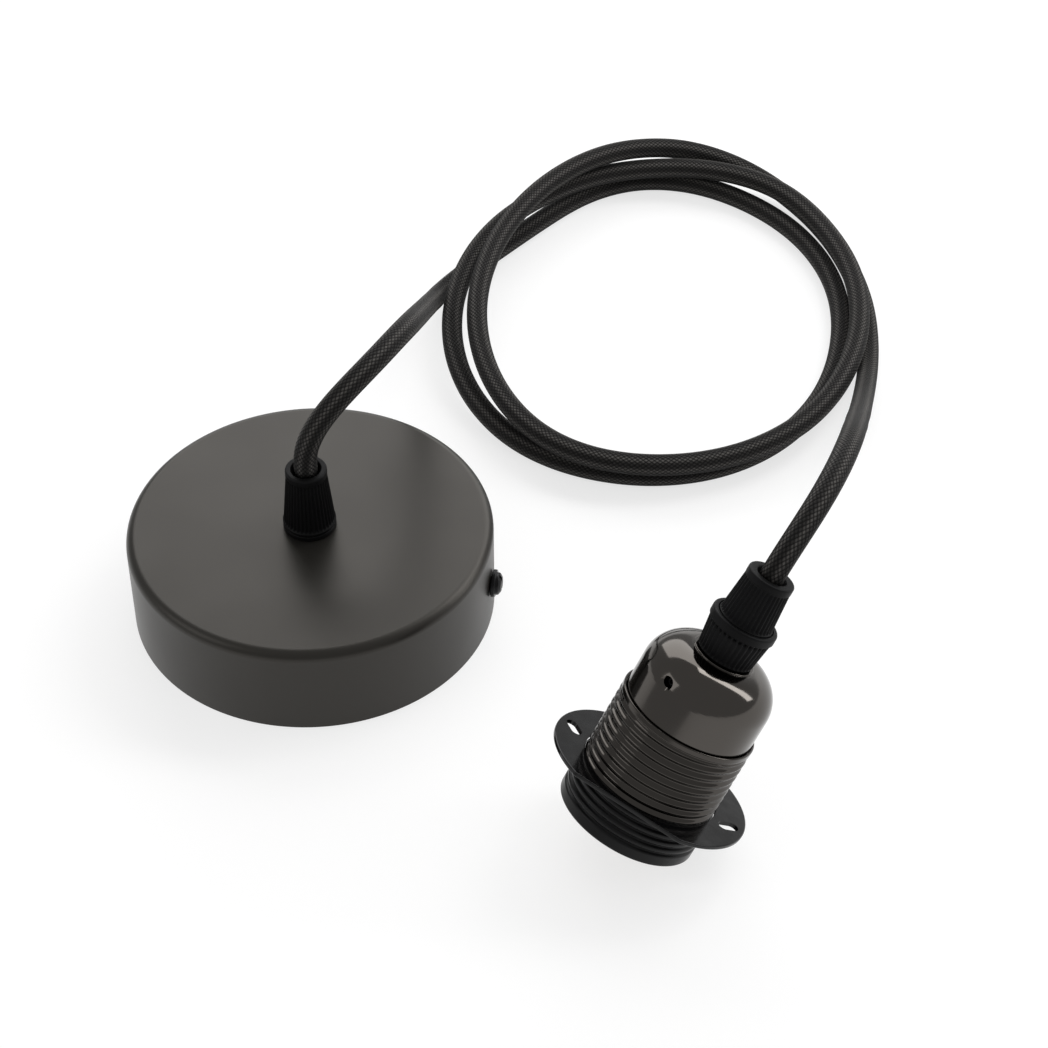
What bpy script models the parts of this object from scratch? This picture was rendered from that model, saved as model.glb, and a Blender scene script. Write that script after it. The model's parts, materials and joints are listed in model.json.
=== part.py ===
"""Pendant light fitting: a round ceiling cup, a fabric-covered flex and a threaded lamp holder.

Sizes are in metres, +Z is up, and the cup and the holder's lower rim rest on z = 0.
Each end is built about its own axis under an empty, which is then placed and turned.
"""

from math import cos, pi, radians, sin, sqrt

import bmesh
import bpy
import numpy as np
from mathutils import Matrix, Vector

# Fits shared by all pieces
GAP = 0.0003
CUP_SIDES = 48
ROUND_SIDES = 32
MIDDLE_SIDES = 24
SMALL_SIDES = 10
ARC_STEPS = 4

# Places of the two ends
CUP_AT = (-0.0395, 0.0324)
CUP_TURN = radians(-9.5)
HOLDER_FROM_CUP = (0.0907, -0.0963)
HOLDER_LEAN = radians(30.8)
HOLDER_HEADING = radians(30.1)
HOLDER_SPIN = radians(-55.0)

# Ceiling cup
CUP_RADIUS = 0.054
CUP_HEIGHT = 0.0295
CUP_WALL = 0.001
CUP_EDGE_RADIUS = 0.0028

# Screws and stems: thread radii, heads and slots
STEM_RADIUS = 0.0049
M4_RADIUS = 0.00195
M3_RADIUS = 0.00145
M25_RADIUS = 0.0012
SLOT_WIDTH = 0.0008
SLOT_DEPTH = 0.0007
SLOT_LENGTH = 0.01
HEX_NUT_FLATS = 0.014
CHAMFER = 0.0003

# Side screws of the cup
SIDE_SCREW_HEIGHT = 0.014
SIDE_SCREW_FLANGE_RADIUS = 0.00415
SIDE_SCREW_FLANGE = 0.0012
SIDE_SCREW_DOME_RADIUS = 0.00345
SIDE_SCREW_DOME = 0.00196
SIDE_SCREW_DOME_TURN = radians(60)
SIDE_SCREW_LENGTH = 0.0068

# Mounting strap inside the cup
STRAP_WIDTH = 0.018
STRAP_THICKNESS = 0.0015
STRAP_BEND = 0.0015
STRAP_TAB_HEIGHT = 0.020
STRAP_HOLE_RADIUS = 0.006
STRAP_SLOT_FROM_CENTRE = 0.041
STRAP_SLOT_LENGTH = 0.009
STRAP_SLOT_WIDTH = 0.0055

# Terminal block on the strap
BLOCK_FROM_CENTRE = 0.017
BLOCK_LENGTH = 0.016
BLOCK_HEIGHT = 0.011
BLOCK_EDGE = 0.0008
POLES = 3
POLE_PITCH = 0.009
TUBE_RADIUS = 0.0022
TUBE_BORE = 0.0016
TUBE_LENGTH = 0.015
TUBE_ABOVE_BASE = 0.0048
CLAMP_SCREW_FROM_MIDDLE = 0.0042
BLOCK_SCREW_HEAD_RADIUS = 0.0022
BLOCK_SCREW_HEAD = 0.0014

# Earth screw and tag on the strap
EARTH_SCREW_FROM_CENTRE = 0.031
EARTH_HEAD_RADIUS = 0.0038
EARTH_HEAD = 0.0022
TAG_RADIUS = 0.0042
TAG_THICKNESS = 0.0008
TAG_NECK_WIDTH = 0.003
TAG_NECK_LENGTH = 0.009
TAG_NECK_ROOT = radians(20)

# Flex and its cores
FLEX_DIAMETER = 0.0068
CORE_RADIUS = 0.0012
CORE_RING_RADIUS = 0.0016
TAIL_BELOW_STEM = 0.001
TAIL_BELOW_MOUTH = 0.001
FLEX_POINTS = 104
FLEX_BEND_WEIGHT = 0.012
FLEX_STRAIGHT_END = 0.002
CORE_POINTS = 10
CORE_BEND_WEIGHT = 0.002
CORE_STRAIGHT_END = 0.0004
CORE_LEAD = 0.001

# Bends of the cores, as shares of the way across, along and down to their terminals
CUP_CORE_BENDS = ((0.03, 0.12, 0.33), (0.37, 0.70, 0.90))
HOLDER_CORE_BENDS = ((0.25, 0.35), (0.85, 0.70))

# Bends of the earth link between the block and the tag, about the cup's axis
EARTH_LINK_BENDS = [(0.0300, 0.0135, 0.0076), (0.0328, 0.0125, 0.0060), (0.0316, 0.0085, 0.0049)]

# Cord grip on the cup
CUP_GRIP_FLANGE = 0.0014
CUP_GRIP_STEM_DROP = 0.0095
CUP_GRIP_SPIGOT = 0.011
CUP_NUT_HEIGHT = 0.0200
CUP_NUT_BASE_RADIUS = 0.0078
CUP_NUT_TOP_RADIUS = 0.0060
CUP_NUT_FLUTES = 18
WASHER_RADIUS = 0.008
WASHER_THICKNESS = 0.001
LOCK_NUT_HEIGHT = 0.004

# Shape shared by the fluted nuts
GRIP_MOUTH_RADIUS = 0.00445
GRIP_MOUTH_DEPTH = 0.002
GRIP_RIM_HEIGHT = 0.0022
GRIP_FOOT_HEIGHT = 0.0008
GRIP_EDGE = 0.0006
FLUTE_DEPTH = 0.0004
FLUTE_RUN_OUT = 0.0003

# Lamp holder, heights above its lower rim
LOWER_RING_HEIGHT = 0.0131
LOWER_RING_STEP = 0.0006
LOWER_RING_SPIGOT_WALL = 0.001
LOWER_RING_BAND = 0.004
LOWER_RING_RIBS = 4
LOWER_RING_RIB_DEPTH = 0.0007
RIB_START, RIB_FULL, RIB_END = 0.15, 0.45, 0.85
LOWER_RING_SPIGOT = 0.004
EAR_RING_THICKNESS = 0.0012
EAR_CENTRE = 0.0046
EAR_ROUND_STEP = 0.005
EAR_FLAT_STEP = 0.0020
EAR_SLOT_FROM_RIM = 0.0046
EAR_SLOT_LENGTH = 0.0064
EAR_SLOT_WIDTH = 0.0034
EAR_SLOT_TILT = radians(44)
SLEEVE_TOP = 0.037
SLEEVE_WALL = 0.0017
THREAD_RADIUS = 0.0196
THREAD_DEPTH = 0.0007
THREAD_PITCH = 0.0025
THREAD_ROOT_AT, THREAD_CREST_AT = 0.35, 0.85
SLEEVE_LIP_HEIGHT = 0.0016

# Cap of the holder
CAP_STEP = 0.0009
CAP_TOP = 0.0562
CAP_WALL = 0.0008
CAP_FLAT_RADIUS = 0.0082
CAP_COLLAR_RADIUS = 0.0088
CAP_COLLAR_HEIGHT = 0.0004
CAP_INSERTION = 0.001
CAP_SHOULDER_STEPS = 6
CAP_HOLE_HEIGHT = 0.0486
CAP_HOLE_HEADING = radians(-116.6)
CAP_HOLE_RADIUS = 0.0015
GRUB_SCREW_RADIUS = 0.0012
GRUB_SCREW_LENGTH = 0.004
GRUB_SCREW_SUNK = 0.0006
GRUB_SOCKET_RADIUS = 0.0007

# Cord grip on the holder
HOLDER_GRIP_HEIGHT = 0.0117
HOLDER_GRIP_BASE_RADIUS = 0.0080
HOLDER_GRIP_TOP_RADIUS = 0.0095
HOLDER_GRIP_BAND = 0.0026
HOLDER_GRIP_GROOVE = 0.0008
HOLDER_GRIP_GROOVE_WIDTH = 0.0005
HOLDER_GRIP_RECESS = 0.001
HOLDER_GRIP_STEM_DROP = 0.0085
HOLDER_GRIP_SPIGOT = 0.009
HOLDER_NUT_HEIGHT = 0.0149
HOLDER_NUT_BASE_RADIUS = 0.0078
HOLDER_NUT_TOP_RADIUS = 0.0066
HOLDER_NUT_FLUTES = 18
HOLDER_LOCK_NUT_HEIGHT = 0.003

# Inside of the holder
BRIDGE_THICKNESS = 0.0012
BRIDGE_HALF_SPAN = 0.0092
BRIDGE_FOOT_MARGIN = 0.0022
BRIDGE_WIDTH = 0.014
INSERT_TOP = 0.034
INSERT_FLANGE_HEIGHT = 0.010
INSERT_BOTTOM = 0.005
INSERT_MARGIN = 0.0004
INSERT_WALL = 0.0019
INSERT_CEILING = 0.028
SHELL_WALL = 0.0004
SHELL_BOTTOM = 0.007
SHELL_PITCH = 0.0036
SHELL_TURNS = 5
SHELL_WAVE = 0.0006
CONTACT_RADIUS = 0.0045
CONTACT_THICKNESS = 0.0008
CONTACT_DROP = 0.0022
CONTACT_RIVET_RADIUS = 0.0014
INSERT_SCREW_MARGIN = 0.0004
INSERT_SCREW_LENGTH = 0.006
INSERT_SCREW_HEAD_RADIUS = 0.0021
INSERT_SCREW_HEAD = 0.0018
TERMINAL_SIZE = 0.006
TERMINAL_HEIGHT = 0.007
TERMINAL_MARGIN = 0.0094
EARTH_TERMINAL_FROM_AXIS = 0.0047
TERMINAL_SCREW_LENGTH = 0.0033
EARTH_TERMINAL_SCREW_HEAD_RADIUS = 0.0020
EARTH_TERMINAL_SCREW_HEAD = 0.0010

# Finishes: colour, roughness and metallic value
SATIN_BLACK_PAINT = ((0.105, 0.100, 0.092), 0.42, 0.0)
BLACK_SCREW = ((0.02, 0.02, 0.02), 0.35, 0.6)
BLACK_NYLON = ((0.010, 0.010, 0.011), 0.5, 0.0)
BLACK_PLASTIC = ((0.014, 0.014, 0.015), 0.38, 0.0)
BLACK_NICKEL = ((0.13, 0.12, 0.115), 0.16, 1.0)
BLACK_TEXTILE = ((0.035, 0.033, 0.030), 0.85, 0.0)
ZINC_STEEL = ((0.55, 0.56, 0.58), 0.35, 1.0)
BRASS = ((0.72, 0.52, 0.22), 0.3, 1.0)
NYLON_WHITE = ((0.78, 0.78, 0.74), 0.45, 0.0)
CERAMIC = ((0.82, 0.80, 0.75), 0.3, 0.0)
CORE_BROWN = ((0.13, 0.05, 0.02), 0.45, 0.0)
CORE_BLUE = ((0.02, 0.10, 0.42), 0.45, 0.0)
CORE_GREEN = ((0.12, 0.30, 0.04), 0.45, 0.0)

# Route of the free flex, as offsets from the cup's centre on the floor.
# Its two ends come from the grips' own sizes.
FLEX_ROUTE = [
    # out of the cup's grip, over in an arch and down to the floor
    (0.0014, -0.0004, 0.0616),
    (0.0067, 0.0012, 0.0711),
    (0.0139, 0.0058, 0.0778),
    (0.0209, 0.0134, 0.0812),
    (0.0261, 0.0230, 0.0810),
    (0.0290, 0.0338, 0.0768),
    (0.0301, 0.0481, 0.0677),
    (0.0306, 0.0710, 0.0515),
    (0.0309, 0.0937, 0.0352),
    (0.0313, 0.1100, 0.0237),
    (0.0318, 0.1216, 0.0158),
    (0.0326, 0.1300, 0.0105),
    (0.0339, 0.1370, 0.0070),
    (0.0369, 0.1446, 0.0047),
    (0.0420, 0.1527, 0.0037),
    (0.0525, 0.1653, 0.0036),
    # first turn, on the floor
    (0.0700, 0.1850, 0.0036),
    (0.0850, 0.1990, 0.0036),
    (0.1030, 0.2070, 0.0036),
    (0.1210, 0.2060, 0.0036),
    (0.1400, 0.1960, 0.0036),
    (0.1580, 0.1760, 0.0036),
    (0.1690, 0.1440, 0.0036),
    (0.1680, 0.1150, 0.0036),
    (0.1580, 0.0850, 0.0036),
    (0.1450, 0.0675, 0.0036),
    (0.1270, 0.0550, 0.0036),
    (0.1050, 0.0500, 0.0036),
    (0.0840, 0.0530, 0.0036),
    # second turn, up over the end of the arch and then on the first turn
    (0.0652, 0.0629, 0.0036),
    (0.0533, 0.0750, 0.0043),
    (0.0448, 0.0895, 0.0061),
    (0.0399, 0.1066, 0.0085),
    (0.0392, 0.1234, 0.0107),
    (0.0420, 0.1401, 0.0122),
    (0.0477, 0.1561, 0.0130),
    (0.0561, 0.1708, 0.0130),
    (0.0669, 0.1839, 0.0122),
    (0.0765, 0.1926, 0.0114),
    (0.0880, 0.2000, 0.0107),
    (0.1080, 0.2050, 0.0107),
    (0.1290, 0.2040, 0.0107),
    (0.1500, 0.1940, 0.0107),
    (0.1660, 0.1710, 0.0107),
    (0.1740, 0.1440, 0.0107),
    (0.1740, 0.1170, 0.0107),
    (0.1670, 0.0920, 0.0107),
    (0.1530, 0.0690, 0.0107),
    (0.1320, 0.0530, 0.0107),
    (0.1080, 0.0470, 0.0107),
    (0.0850, 0.0505, 0.0107),
    (0.0710, 0.0590, 0.0107),
    # last half turn, over the second in a long low hump and down again
    (0.0615, 0.0694, 0.0113),
    (0.0546, 0.0815, 0.0124),
    (0.0501, 0.0947, 0.0136),
    (0.0478, 0.1084, 0.0148),
    (0.0475, 0.1223, 0.0159),
    (0.0492, 0.1362, 0.0168),
    (0.0524, 0.1488, 0.0176),
    (0.0574, 0.1618, 0.0182),
    (0.0640, 0.1742, 0.0187),
    (0.0720, 0.1856, 0.0187),
    (0.0816, 0.1958, 0.0184),
    (0.0927, 0.2042, 0.0175),
    (0.1052, 0.2101, 0.0158),
    (0.1188, 0.2127, 0.0135),
    (0.1323, 0.2113, 0.0105),
    (0.1448, 0.2060, 0.0074),
    (0.1555, 0.1969, 0.0050),
    (0.1640, 0.1851, 0.0038),
    (0.1750, 0.1550, 0.0036),
    # up to the holder, and down into its grip
    (0.1773, 0.1413, 0.0036),
    (0.1780, 0.1263, 0.0036),
    (0.1772, 0.1123, 0.0041),
    (0.1754, 0.0986, 0.0061),
    (0.1731, 0.0855, 0.0104),
    (0.1706, 0.0723, 0.0170),
    (0.1663, 0.0492, 0.0322),
    (0.1621, 0.0261, 0.0492),
    (0.1578, 0.0032, 0.0665),
    (0.1558, -0.0079, 0.0747),
    (0.1535, -0.0193, 0.0827),
    (0.1514, -0.0293, 0.0889),
    (0.1489, -0.0390, 0.0934),
    (0.1459, -0.0482, 0.0958),
    (0.1419, -0.0573, 0.0959),
    (0.1385, -0.0632, 0.0944),
    (0.1347, -0.0683, 0.0914),
]

# Sizes worked out from the ones above
CUP_INNER_RADIUS = CUP_RADIUS - CUP_WALL
STEM_HOLE_RADIUS = STEM_RADIUS + GAP
FLEX_BORE = FLEX_DIAMETER / 2 + GAP
STRAP_REACH = sqrt(CUP_INNER_RADIUS**2 - (STRAP_WIDTH / 2) ** 2) - 2 * GAP
BLOCK_BASE = STRAP_THICKNESS + GAP
BLOCK_TOP = BLOCK_BASE + BLOCK_HEIGHT
TUBE_HEIGHT = BLOCK_BASE + TUBE_ABOVE_BASE
CUP_GRIP_BASE = CUP_HEIGHT + GAP
CUP_STEM_BOTTOM = CUP_GRIP_BASE - CUP_GRIP_STEM_DROP
CUP_NUT_BASE = CUP_GRIP_BASE + CUP_GRIP_FLANGE + GAP
CUP_NUT_TOP = CUP_NUT_BASE + CUP_NUT_HEIGHT
CUP_TAIL_BOTTOM = CUP_STEM_BOTTOM - TAIL_BELOW_STEM
SLEEVE_BORE = THREAD_RADIUS - SLEEVE_WALL
CAP_RADIUS = THREAD_RADIUS - CAP_STEP
CAP_SHOULDER_RADIUS = CAP_RADIUS - CAP_FLAT_RADIUS
LOWER_RING_RADIUS = THREAD_RADIUS + LOWER_RING_STEP
LOWER_RING_BORE = SLEEVE_BORE - GAP - LOWER_RING_SPIGOT_WALL
EAR_RADIUS = THREAD_RADIUS + EAR_ROUND_STEP
EAR_FLAT_FROM_AXIS = THREAD_RADIUS + EAR_FLAT_STEP
EAR_SLOT_FROM_AXIS = EAR_CENTRE + EAR_RADIUS - EAR_SLOT_FROM_RIM
INSERT_RADIUS = LOWER_RING_BORE - INSERT_MARGIN
SHELL_RADIUS = INSERT_RADIUS - INSERT_WALL - GAP
BRIDGE_FOOT_REACH = SLEEVE_BORE - BRIDGE_FOOT_MARGIN
TERMINAL_FROM_AXIS = SLEEVE_BORE - TERMINAL_MARGIN
EARTH_SCREW_TOP_AT = BRIDGE_HALF_SPAN + GAP + EARTH_TERMINAL_SCREW_HEAD
INSERT_SCREW_FROM_AXIS = EARTH_SCREW_TOP_AT + INSERT_SCREW_MARGIN + INSERT_SCREW_HEAD_RADIUS
EAR_RING_BASE = LOWER_RING_HEIGHT + GAP
EAR_RING_TOP = EAR_RING_BASE + EAR_RING_THICKNESS
CAP_BOTTOM = SLEEVE_TOP - CAP_INSERTION
CAP_COLLAR_TOP = CAP_TOP + CAP_COLLAR_HEIGHT
HOLDER_GRIP_BASE = CAP_COLLAR_TOP + GAP
HOLDER_GRIP_TOP = HOLDER_GRIP_BASE + HOLDER_GRIP_HEIGHT
HOLDER_STEM_BOTTOM = HOLDER_GRIP_BASE - HOLDER_GRIP_STEM_DROP
HOLDER_NUT_BASE = HOLDER_GRIP_TOP - HOLDER_GRIP_RECESS + GAP
HOLDER_NUT_TOP = HOLDER_NUT_BASE + HOLDER_NUT_HEIGHT
HOLDER_TAIL_BOTTOM = HOLDER_STEM_BOTTOM - TAIL_BELOW_STEM
HOLDER_WASHER_TOP = CAP_TOP - CAP_WALL - GAP
BRIDGE_TOP = HOLDER_WASHER_TOP - WASHER_THICKNESS - GAP
TERMINAL_BASE = INSERT_TOP + GAP


def material_for(obj, finish):
    """Gives the object a material of its own with the finish's colour, roughness and metallic value."""
    colour, roughness, metallic = finish
    material = bpy.data.materials.new(obj.name)
    material.use_nodes = True
    shader = material.node_tree.nodes["Principled BSDF"]
    shader.inputs["Base Color"].default_value = (*colour, 1.0)
    shader.inputs["Roughness"].default_value = roughness
    shader.inputs["Metallic"].default_value = metallic
    material.diffuse_color = (*colour, 1.0)
    obj.data.materials.append(material)


def object_from(name, shape, parent, finish=None, at=(0, 0, 0), turn=None):
    """Makes an object of the bmesh under its end's empty. Without a finish it is a hidden cutter."""
    mesh = bpy.data.meshes.new(name)
    bmesh.ops.recalc_face_normals(shape, faces=shape.faces)
    shape.to_mesh(mesh)
    shape.free()
    obj = bpy.data.objects.new(name, mesh)
    bpy.context.scene.collection.objects.link(obj)
    obj.parent = parent
    obj.location = at
    if turn is not None:
        obj.rotation_euler = turn
    if finish is None:
        obj.hide_render = True
        obj.display_type = "WIRE"
    else:
        material_for(obj, finish)
        mesh.shade_smooth()
        mesh.set_sharp_from_angle(angle=radians(35))
    return obj


def turned_shape(profile, sides):
    """Spins a profile of (radius, height) points about Z. It closes on itself, or on the axis at both ends."""
    shape = bmesh.new()
    points = [shape.verts.new((radius, 0, height)) for radius, height in profile]
    edges = [shape.edges.new(pair) for pair in zip(points, points[1:])]
    if profile[0][0] > 0:
        edges.append(shape.edges.new((points[-1], points[0])))
    bmesh.ops.spin(shape, geom=points + edges, cent=(0, 0, 0), axis=(0, 0, 1), angle=2 * pi, steps=sides)
    bmesh.ops.remove_doubles(shape, verts=shape.verts, dist=1e-6)
    return shape


def turned(name, profile, parent, finish=None, sides=ROUND_SIDES, at=(0, 0, 0), turn=None):
    return object_from(name, turned_shape(profile, sides), parent, finish, at, turn)


def arc(radius_at, height_at, radius, start, end, steps=ARC_STEPS):
    """Points of an arc in the (radius, height) plane, from the start angle to the end angle."""
    angles = np.linspace(radians(start), radians(end), steps + 1)
    return [(radius_at + radius * cos(a), height_at + radius * sin(a)) for a in angles]


def fluted(name, profile, band, flutes, parent, finish):
    """A turned piece whose outer points inside the height band are pushed in on every other column."""
    low, high, inside = band
    shape = turned_shape(profile, 2 * flutes)
    for point in shape.verts:
        out = Vector((point.co.x, point.co.y))
        column = round(out.angle_signed(Vector((1, 0))) / (pi / flutes))
        if low <= point.co.z <= high and out.length > inside and column % 2:
            out.length -= FLUTE_DEPTH
            point.co.x, point.co.y = out
    return object_from(name, shape, parent, finish)


def prism_shape(outline, low, high):
    """Extrudes a flat outline of (x, y) points from the low height to the high one."""
    shape = bmesh.new()
    base = shape.faces.new([shape.verts.new((x, y, low)) for x, y in outline])
    top = bmesh.ops.extrude_face_region(shape, geom=[base])["geom"]
    moved = [item for item in top if isinstance(item, bmesh.types.BMVert)]
    bmesh.ops.translate(shape, verts=moved, vec=(0, 0, high - low))
    return shape


def stadium(half_centres, radius, steps=18):
    """Outline of two half circles about (-half_centres, 0) and (half_centres, 0), joined by straight sides."""
    right = np.linspace(-pi / 2, pi / 2, steps + 1)
    return [(half_centres + radius * cos(a), radius * sin(a)) for a in right] + [
        (-half_centres + radius * cos(a), radius * sin(a)) for a in right + pi
    ]


def bar(name, size, at, parent, finish=None, edge=0.0, turn=None):
    """A box about its middle, with its edges rounded by the given width."""
    shape = bmesh.new()
    bmesh.ops.create_cube(shape, size=1)
    bmesh.ops.scale(shape, vec=size, verts=shape.verts)
    if edge:
        bmesh.ops.bevel(shape, geom=shape.edges[:], offset=edge, segments=1, affect="EDGES")
    return object_from(name, shape, parent, finish, at, turn)


def rods(name, places, axis, radius, length, parent, sides=SMALL_SIDES):
    """A hidden cutter of separate round rods along one axis, each given by its middle."""
    turn = Vector((0, 0, 1)).rotation_difference(Vector(axis)).to_matrix().to_4x4()
    shape = bmesh.new()
    for place in places:
        bmesh.ops.create_cone(
            shape,
            cap_ends=True,
            segments=sides,
            radius1=radius,
            radius2=radius,
            depth=length,
            matrix=Matrix.Translation(place) @ turn,
        )
    return object_from(name, shape, parent)


def boolean(obj, other, operation="DIFFERENCE"):
    modifier = obj.modifiers.new(f"{operation.lower()} {other.name}", "BOOLEAN")
    modifier.operation = operation
    modifier.solver = "EXACT"
    modifier.object = other


def screw(name, at, turn, shank, head_profile, parent, finish):
    """A slotted screw along its own Z: the shank (radius, length) hangs below z = 0 and the head stands on it."""
    radius, length = shank
    profile = [(0, -length), (radius - CHAMFER, -length), (radius, -length + CHAMFER), (radius, 0)]
    top = head_profile[-1][1]
    obj = turned(name, profile + head_profile + [(0, top)], parent, finish, SMALL_SIDES, at, turn)
    boolean(obj, bar(f"{name}_slot", (SLOT_WIDTH, SLOT_LENGTH, 2 * SLOT_DEPTH), (0, 0, top), obj))


def pan_head(radius, height):
    """Profile of a pan head: straight edge, rounded shoulder and a flat top."""
    edge = height / 2
    return [(radius, 0)] + arc(radius - edge, height - edge, edge, 0, 90, 2)


def hex_nut(name, bottom, height, hole_radius, parent, finish):
    """A hexagonal nut with a plain hole, two flats across Y."""
    corner = HEX_NUT_FLATS / 2 / cos(pi / 6)
    outline = [(corner * cos(i * pi / 3), corner * sin(i * pi / 3)) for i in range(6)]
    nut = object_from(name, prism_shape(outline, bottom, bottom + height), parent, finish)
    hole = rods(f"{name}_hole", [(0, 0, bottom + height / 2)], (0, 0, 1), hole_radius, 2 * height, parent, MIDDLE_SIDES)
    boolean(nut, hole)
    return nut


def spline(points, start, end):
    """Smooth cubic curve through the points with the given end directions, as dense points along it.

    Its knots are spaced by the distance between the points, and the slopes at the
    inner knots are solved so that the curvature is continuous.
    """
    points = np.array(points, float)
    steps = np.linalg.norm(np.diff(points, axis=0), axis=1)
    knots = np.concatenate([[0], np.cumsum(steps)])
    rates = np.diff(points, axis=0) / steps[:, None]
    count = len(points)
    system = np.zeros((count, count))
    known = np.zeros((count, 3))
    system[0, 0] = system[-1, -1] = 1
    known[0], known[-1] = start, end
    for i in range(1, count - 1):
        system[i, i - 1 : i + 2] = steps[i], 2 * (steps[i - 1] + steps[i]), steps[i - 1]
        known[i] = 3 * (steps[i] * rates[i - 1] + steps[i - 1] * rates[i])
    slopes = np.linalg.solve(system, known)
    along = np.linspace(0, knots[-1], 40 * count)
    piece = np.clip(np.searchsorted(knots, along) - 1, 0, count - 2)
    length = steps[piece][:, None]
    t = (along - knots[piece])[:, None] / length
    return (
        (1 + 2 * t) * (1 - t) ** 2 * points[piece]
        + t * (1 - t) ** 2 * length * slopes[piece]
        + t**2 * (3 - 2 * t) * points[piece + 1]
        + t**2 * (t - 1) * length * slopes[piece + 1]
    )


def spaced(dense, count, bend_weight):
    """Picks count points along the dense curve, closer together where it bends."""
    steps = np.diff(dense, axis=0)
    lengths = np.linalg.norm(steps, axis=1)
    directions = steps / lengths[:, None]
    turning = np.linalg.norm(np.diff(directions, axis=0), axis=1)
    turning = np.concatenate([turning, turning[-1:]])
    share = np.concatenate([[0], np.cumsum(lengths + bend_weight * turning)])
    wanted = np.linspace(0, share[-1], count)
    return np.stack([np.interp(wanted, share, dense[:, i]) for i in range(3)], axis=1)


def tube(name, points, radius, parent, finish, resolution):
    """A round tube with filled ends along the points, as a curve with a bevel."""
    curve = bpy.data.curves.new(name, "CURVE")
    curve.dimensions = "3D"
    curve.bevel_depth = radius
    curve.bevel_resolution = resolution
    curve.use_fill_caps = True
    run = curve.splines.new("POLY")
    run.points.add(len(points) - 1)
    run.points.foreach_set("co", np.column_stack([points, np.ones(len(points))]).ravel())
    obj = bpy.data.objects.new(name, curve)
    bpy.context.scene.collection.objects.link(obj)
    obj.parent = parent
    material_for(obj, finish)
    return obj


def run_through(points, start, end, count, bend_weight, straight):
    """Points of a smooth run through the given ones, with a short straight length at both of its ends."""
    leave = np.add(points[0], np.multiply(start, straight))
    enter = np.subtract(points[-1], np.multiply(end, straight))
    curve = spaced(spline([leave, *points[1:-1], enter], start, end), count - 2, bend_weight)
    return [points[0], *curve, points[-1]]


def core(name, points, start, end, parent, finish):
    run = run_through(points, start, end, CORE_POINTS, CORE_BEND_WEIGHT, CORE_STRAIGHT_END)
    tube(name, run, CORE_RADIUS, parent, finish, 2)


def empty_at(name, place, turn):
    empty = bpy.data.objects.new(name, None)
    bpy.context.scene.collection.objects.link(empty)
    empty.rotation_mode = "QUATERNION"
    empty.location = place
    empty.rotation_quaternion = turn.to_quaternion()
    return empty


def ceiling_cup(end):
    """Turned cup, open below, with a rounded top edge, a hole for the stem and two side holes."""
    top_arc = arc(CUP_RADIUS - CUP_EDGE_RADIUS, CUP_HEIGHT - CUP_EDGE_RADIUS, CUP_EDGE_RADIUS, 90, 0)
    inner = CUP_EDGE_RADIUS - CUP_WALL
    inner_arc = arc(CUP_RADIUS - CUP_EDGE_RADIUS, CUP_HEIGHT - CUP_EDGE_RADIUS, inner, 0, 90, 3)
    profile = (
        [(STEM_HOLE_RADIUS, CUP_HEIGHT)]
        + top_arc
        + [(CUP_RADIUS, 0), (CUP_INNER_RADIUS, 0)]
        + inner_arc
        + [(STEM_HOLE_RADIUS, CUP_HEIGHT - CUP_WALL)]
    )
    cup = turned("ceiling_cup", profile, end, SATIN_BLACK_PAINT, CUP_SIDES)
    hole = rods(
        "cup_side_holes", [(0, 0, SIDE_SCREW_HEIGHT)], (1, 0, 0), M4_RADIUS + GAP, 3 * CUP_RADIUS, end
    )
    boolean(cup, hole)


def side_screws(end):
    """Flanged dome screw through the cup's wall into the strap, and a headless one, flush with the wall, opposite."""
    head = (
        [(SIDE_SCREW_FLANGE_RADIUS, 0), (SIDE_SCREW_FLANGE_RADIUS, SIDE_SCREW_FLANGE - CHAMFER)]
        + [(SIDE_SCREW_FLANGE_RADIUS - CHAMFER, SIDE_SCREW_FLANGE)]
    )
    for a in np.linspace(0, SIDE_SCREW_DOME_TURN, 3):
        head.append((SIDE_SCREW_DOME_RADIUS * cos(a), SIDE_SCREW_FLANGE + SIDE_SCREW_DOME * sin(a)))
    at = (CUP_RADIUS + GAP, 0, SIDE_SCREW_HEIGHT)
    screw("side_screw_right", at, (0, pi / 2, 0), (M4_RADIUS, SIDE_SCREW_LENGTH), head, end, BLACK_SCREW)
    at = (-CUP_RADIUS + CHAMFER, 0, SIDE_SCREW_HEIGHT)
    screw("side_screw_left", at, (0, -pi / 2, 0), (M4_RADIUS, SIDE_SCREW_LENGTH), [(M4_RADIUS, 0)], end, BLACK_SCREW)


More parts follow.
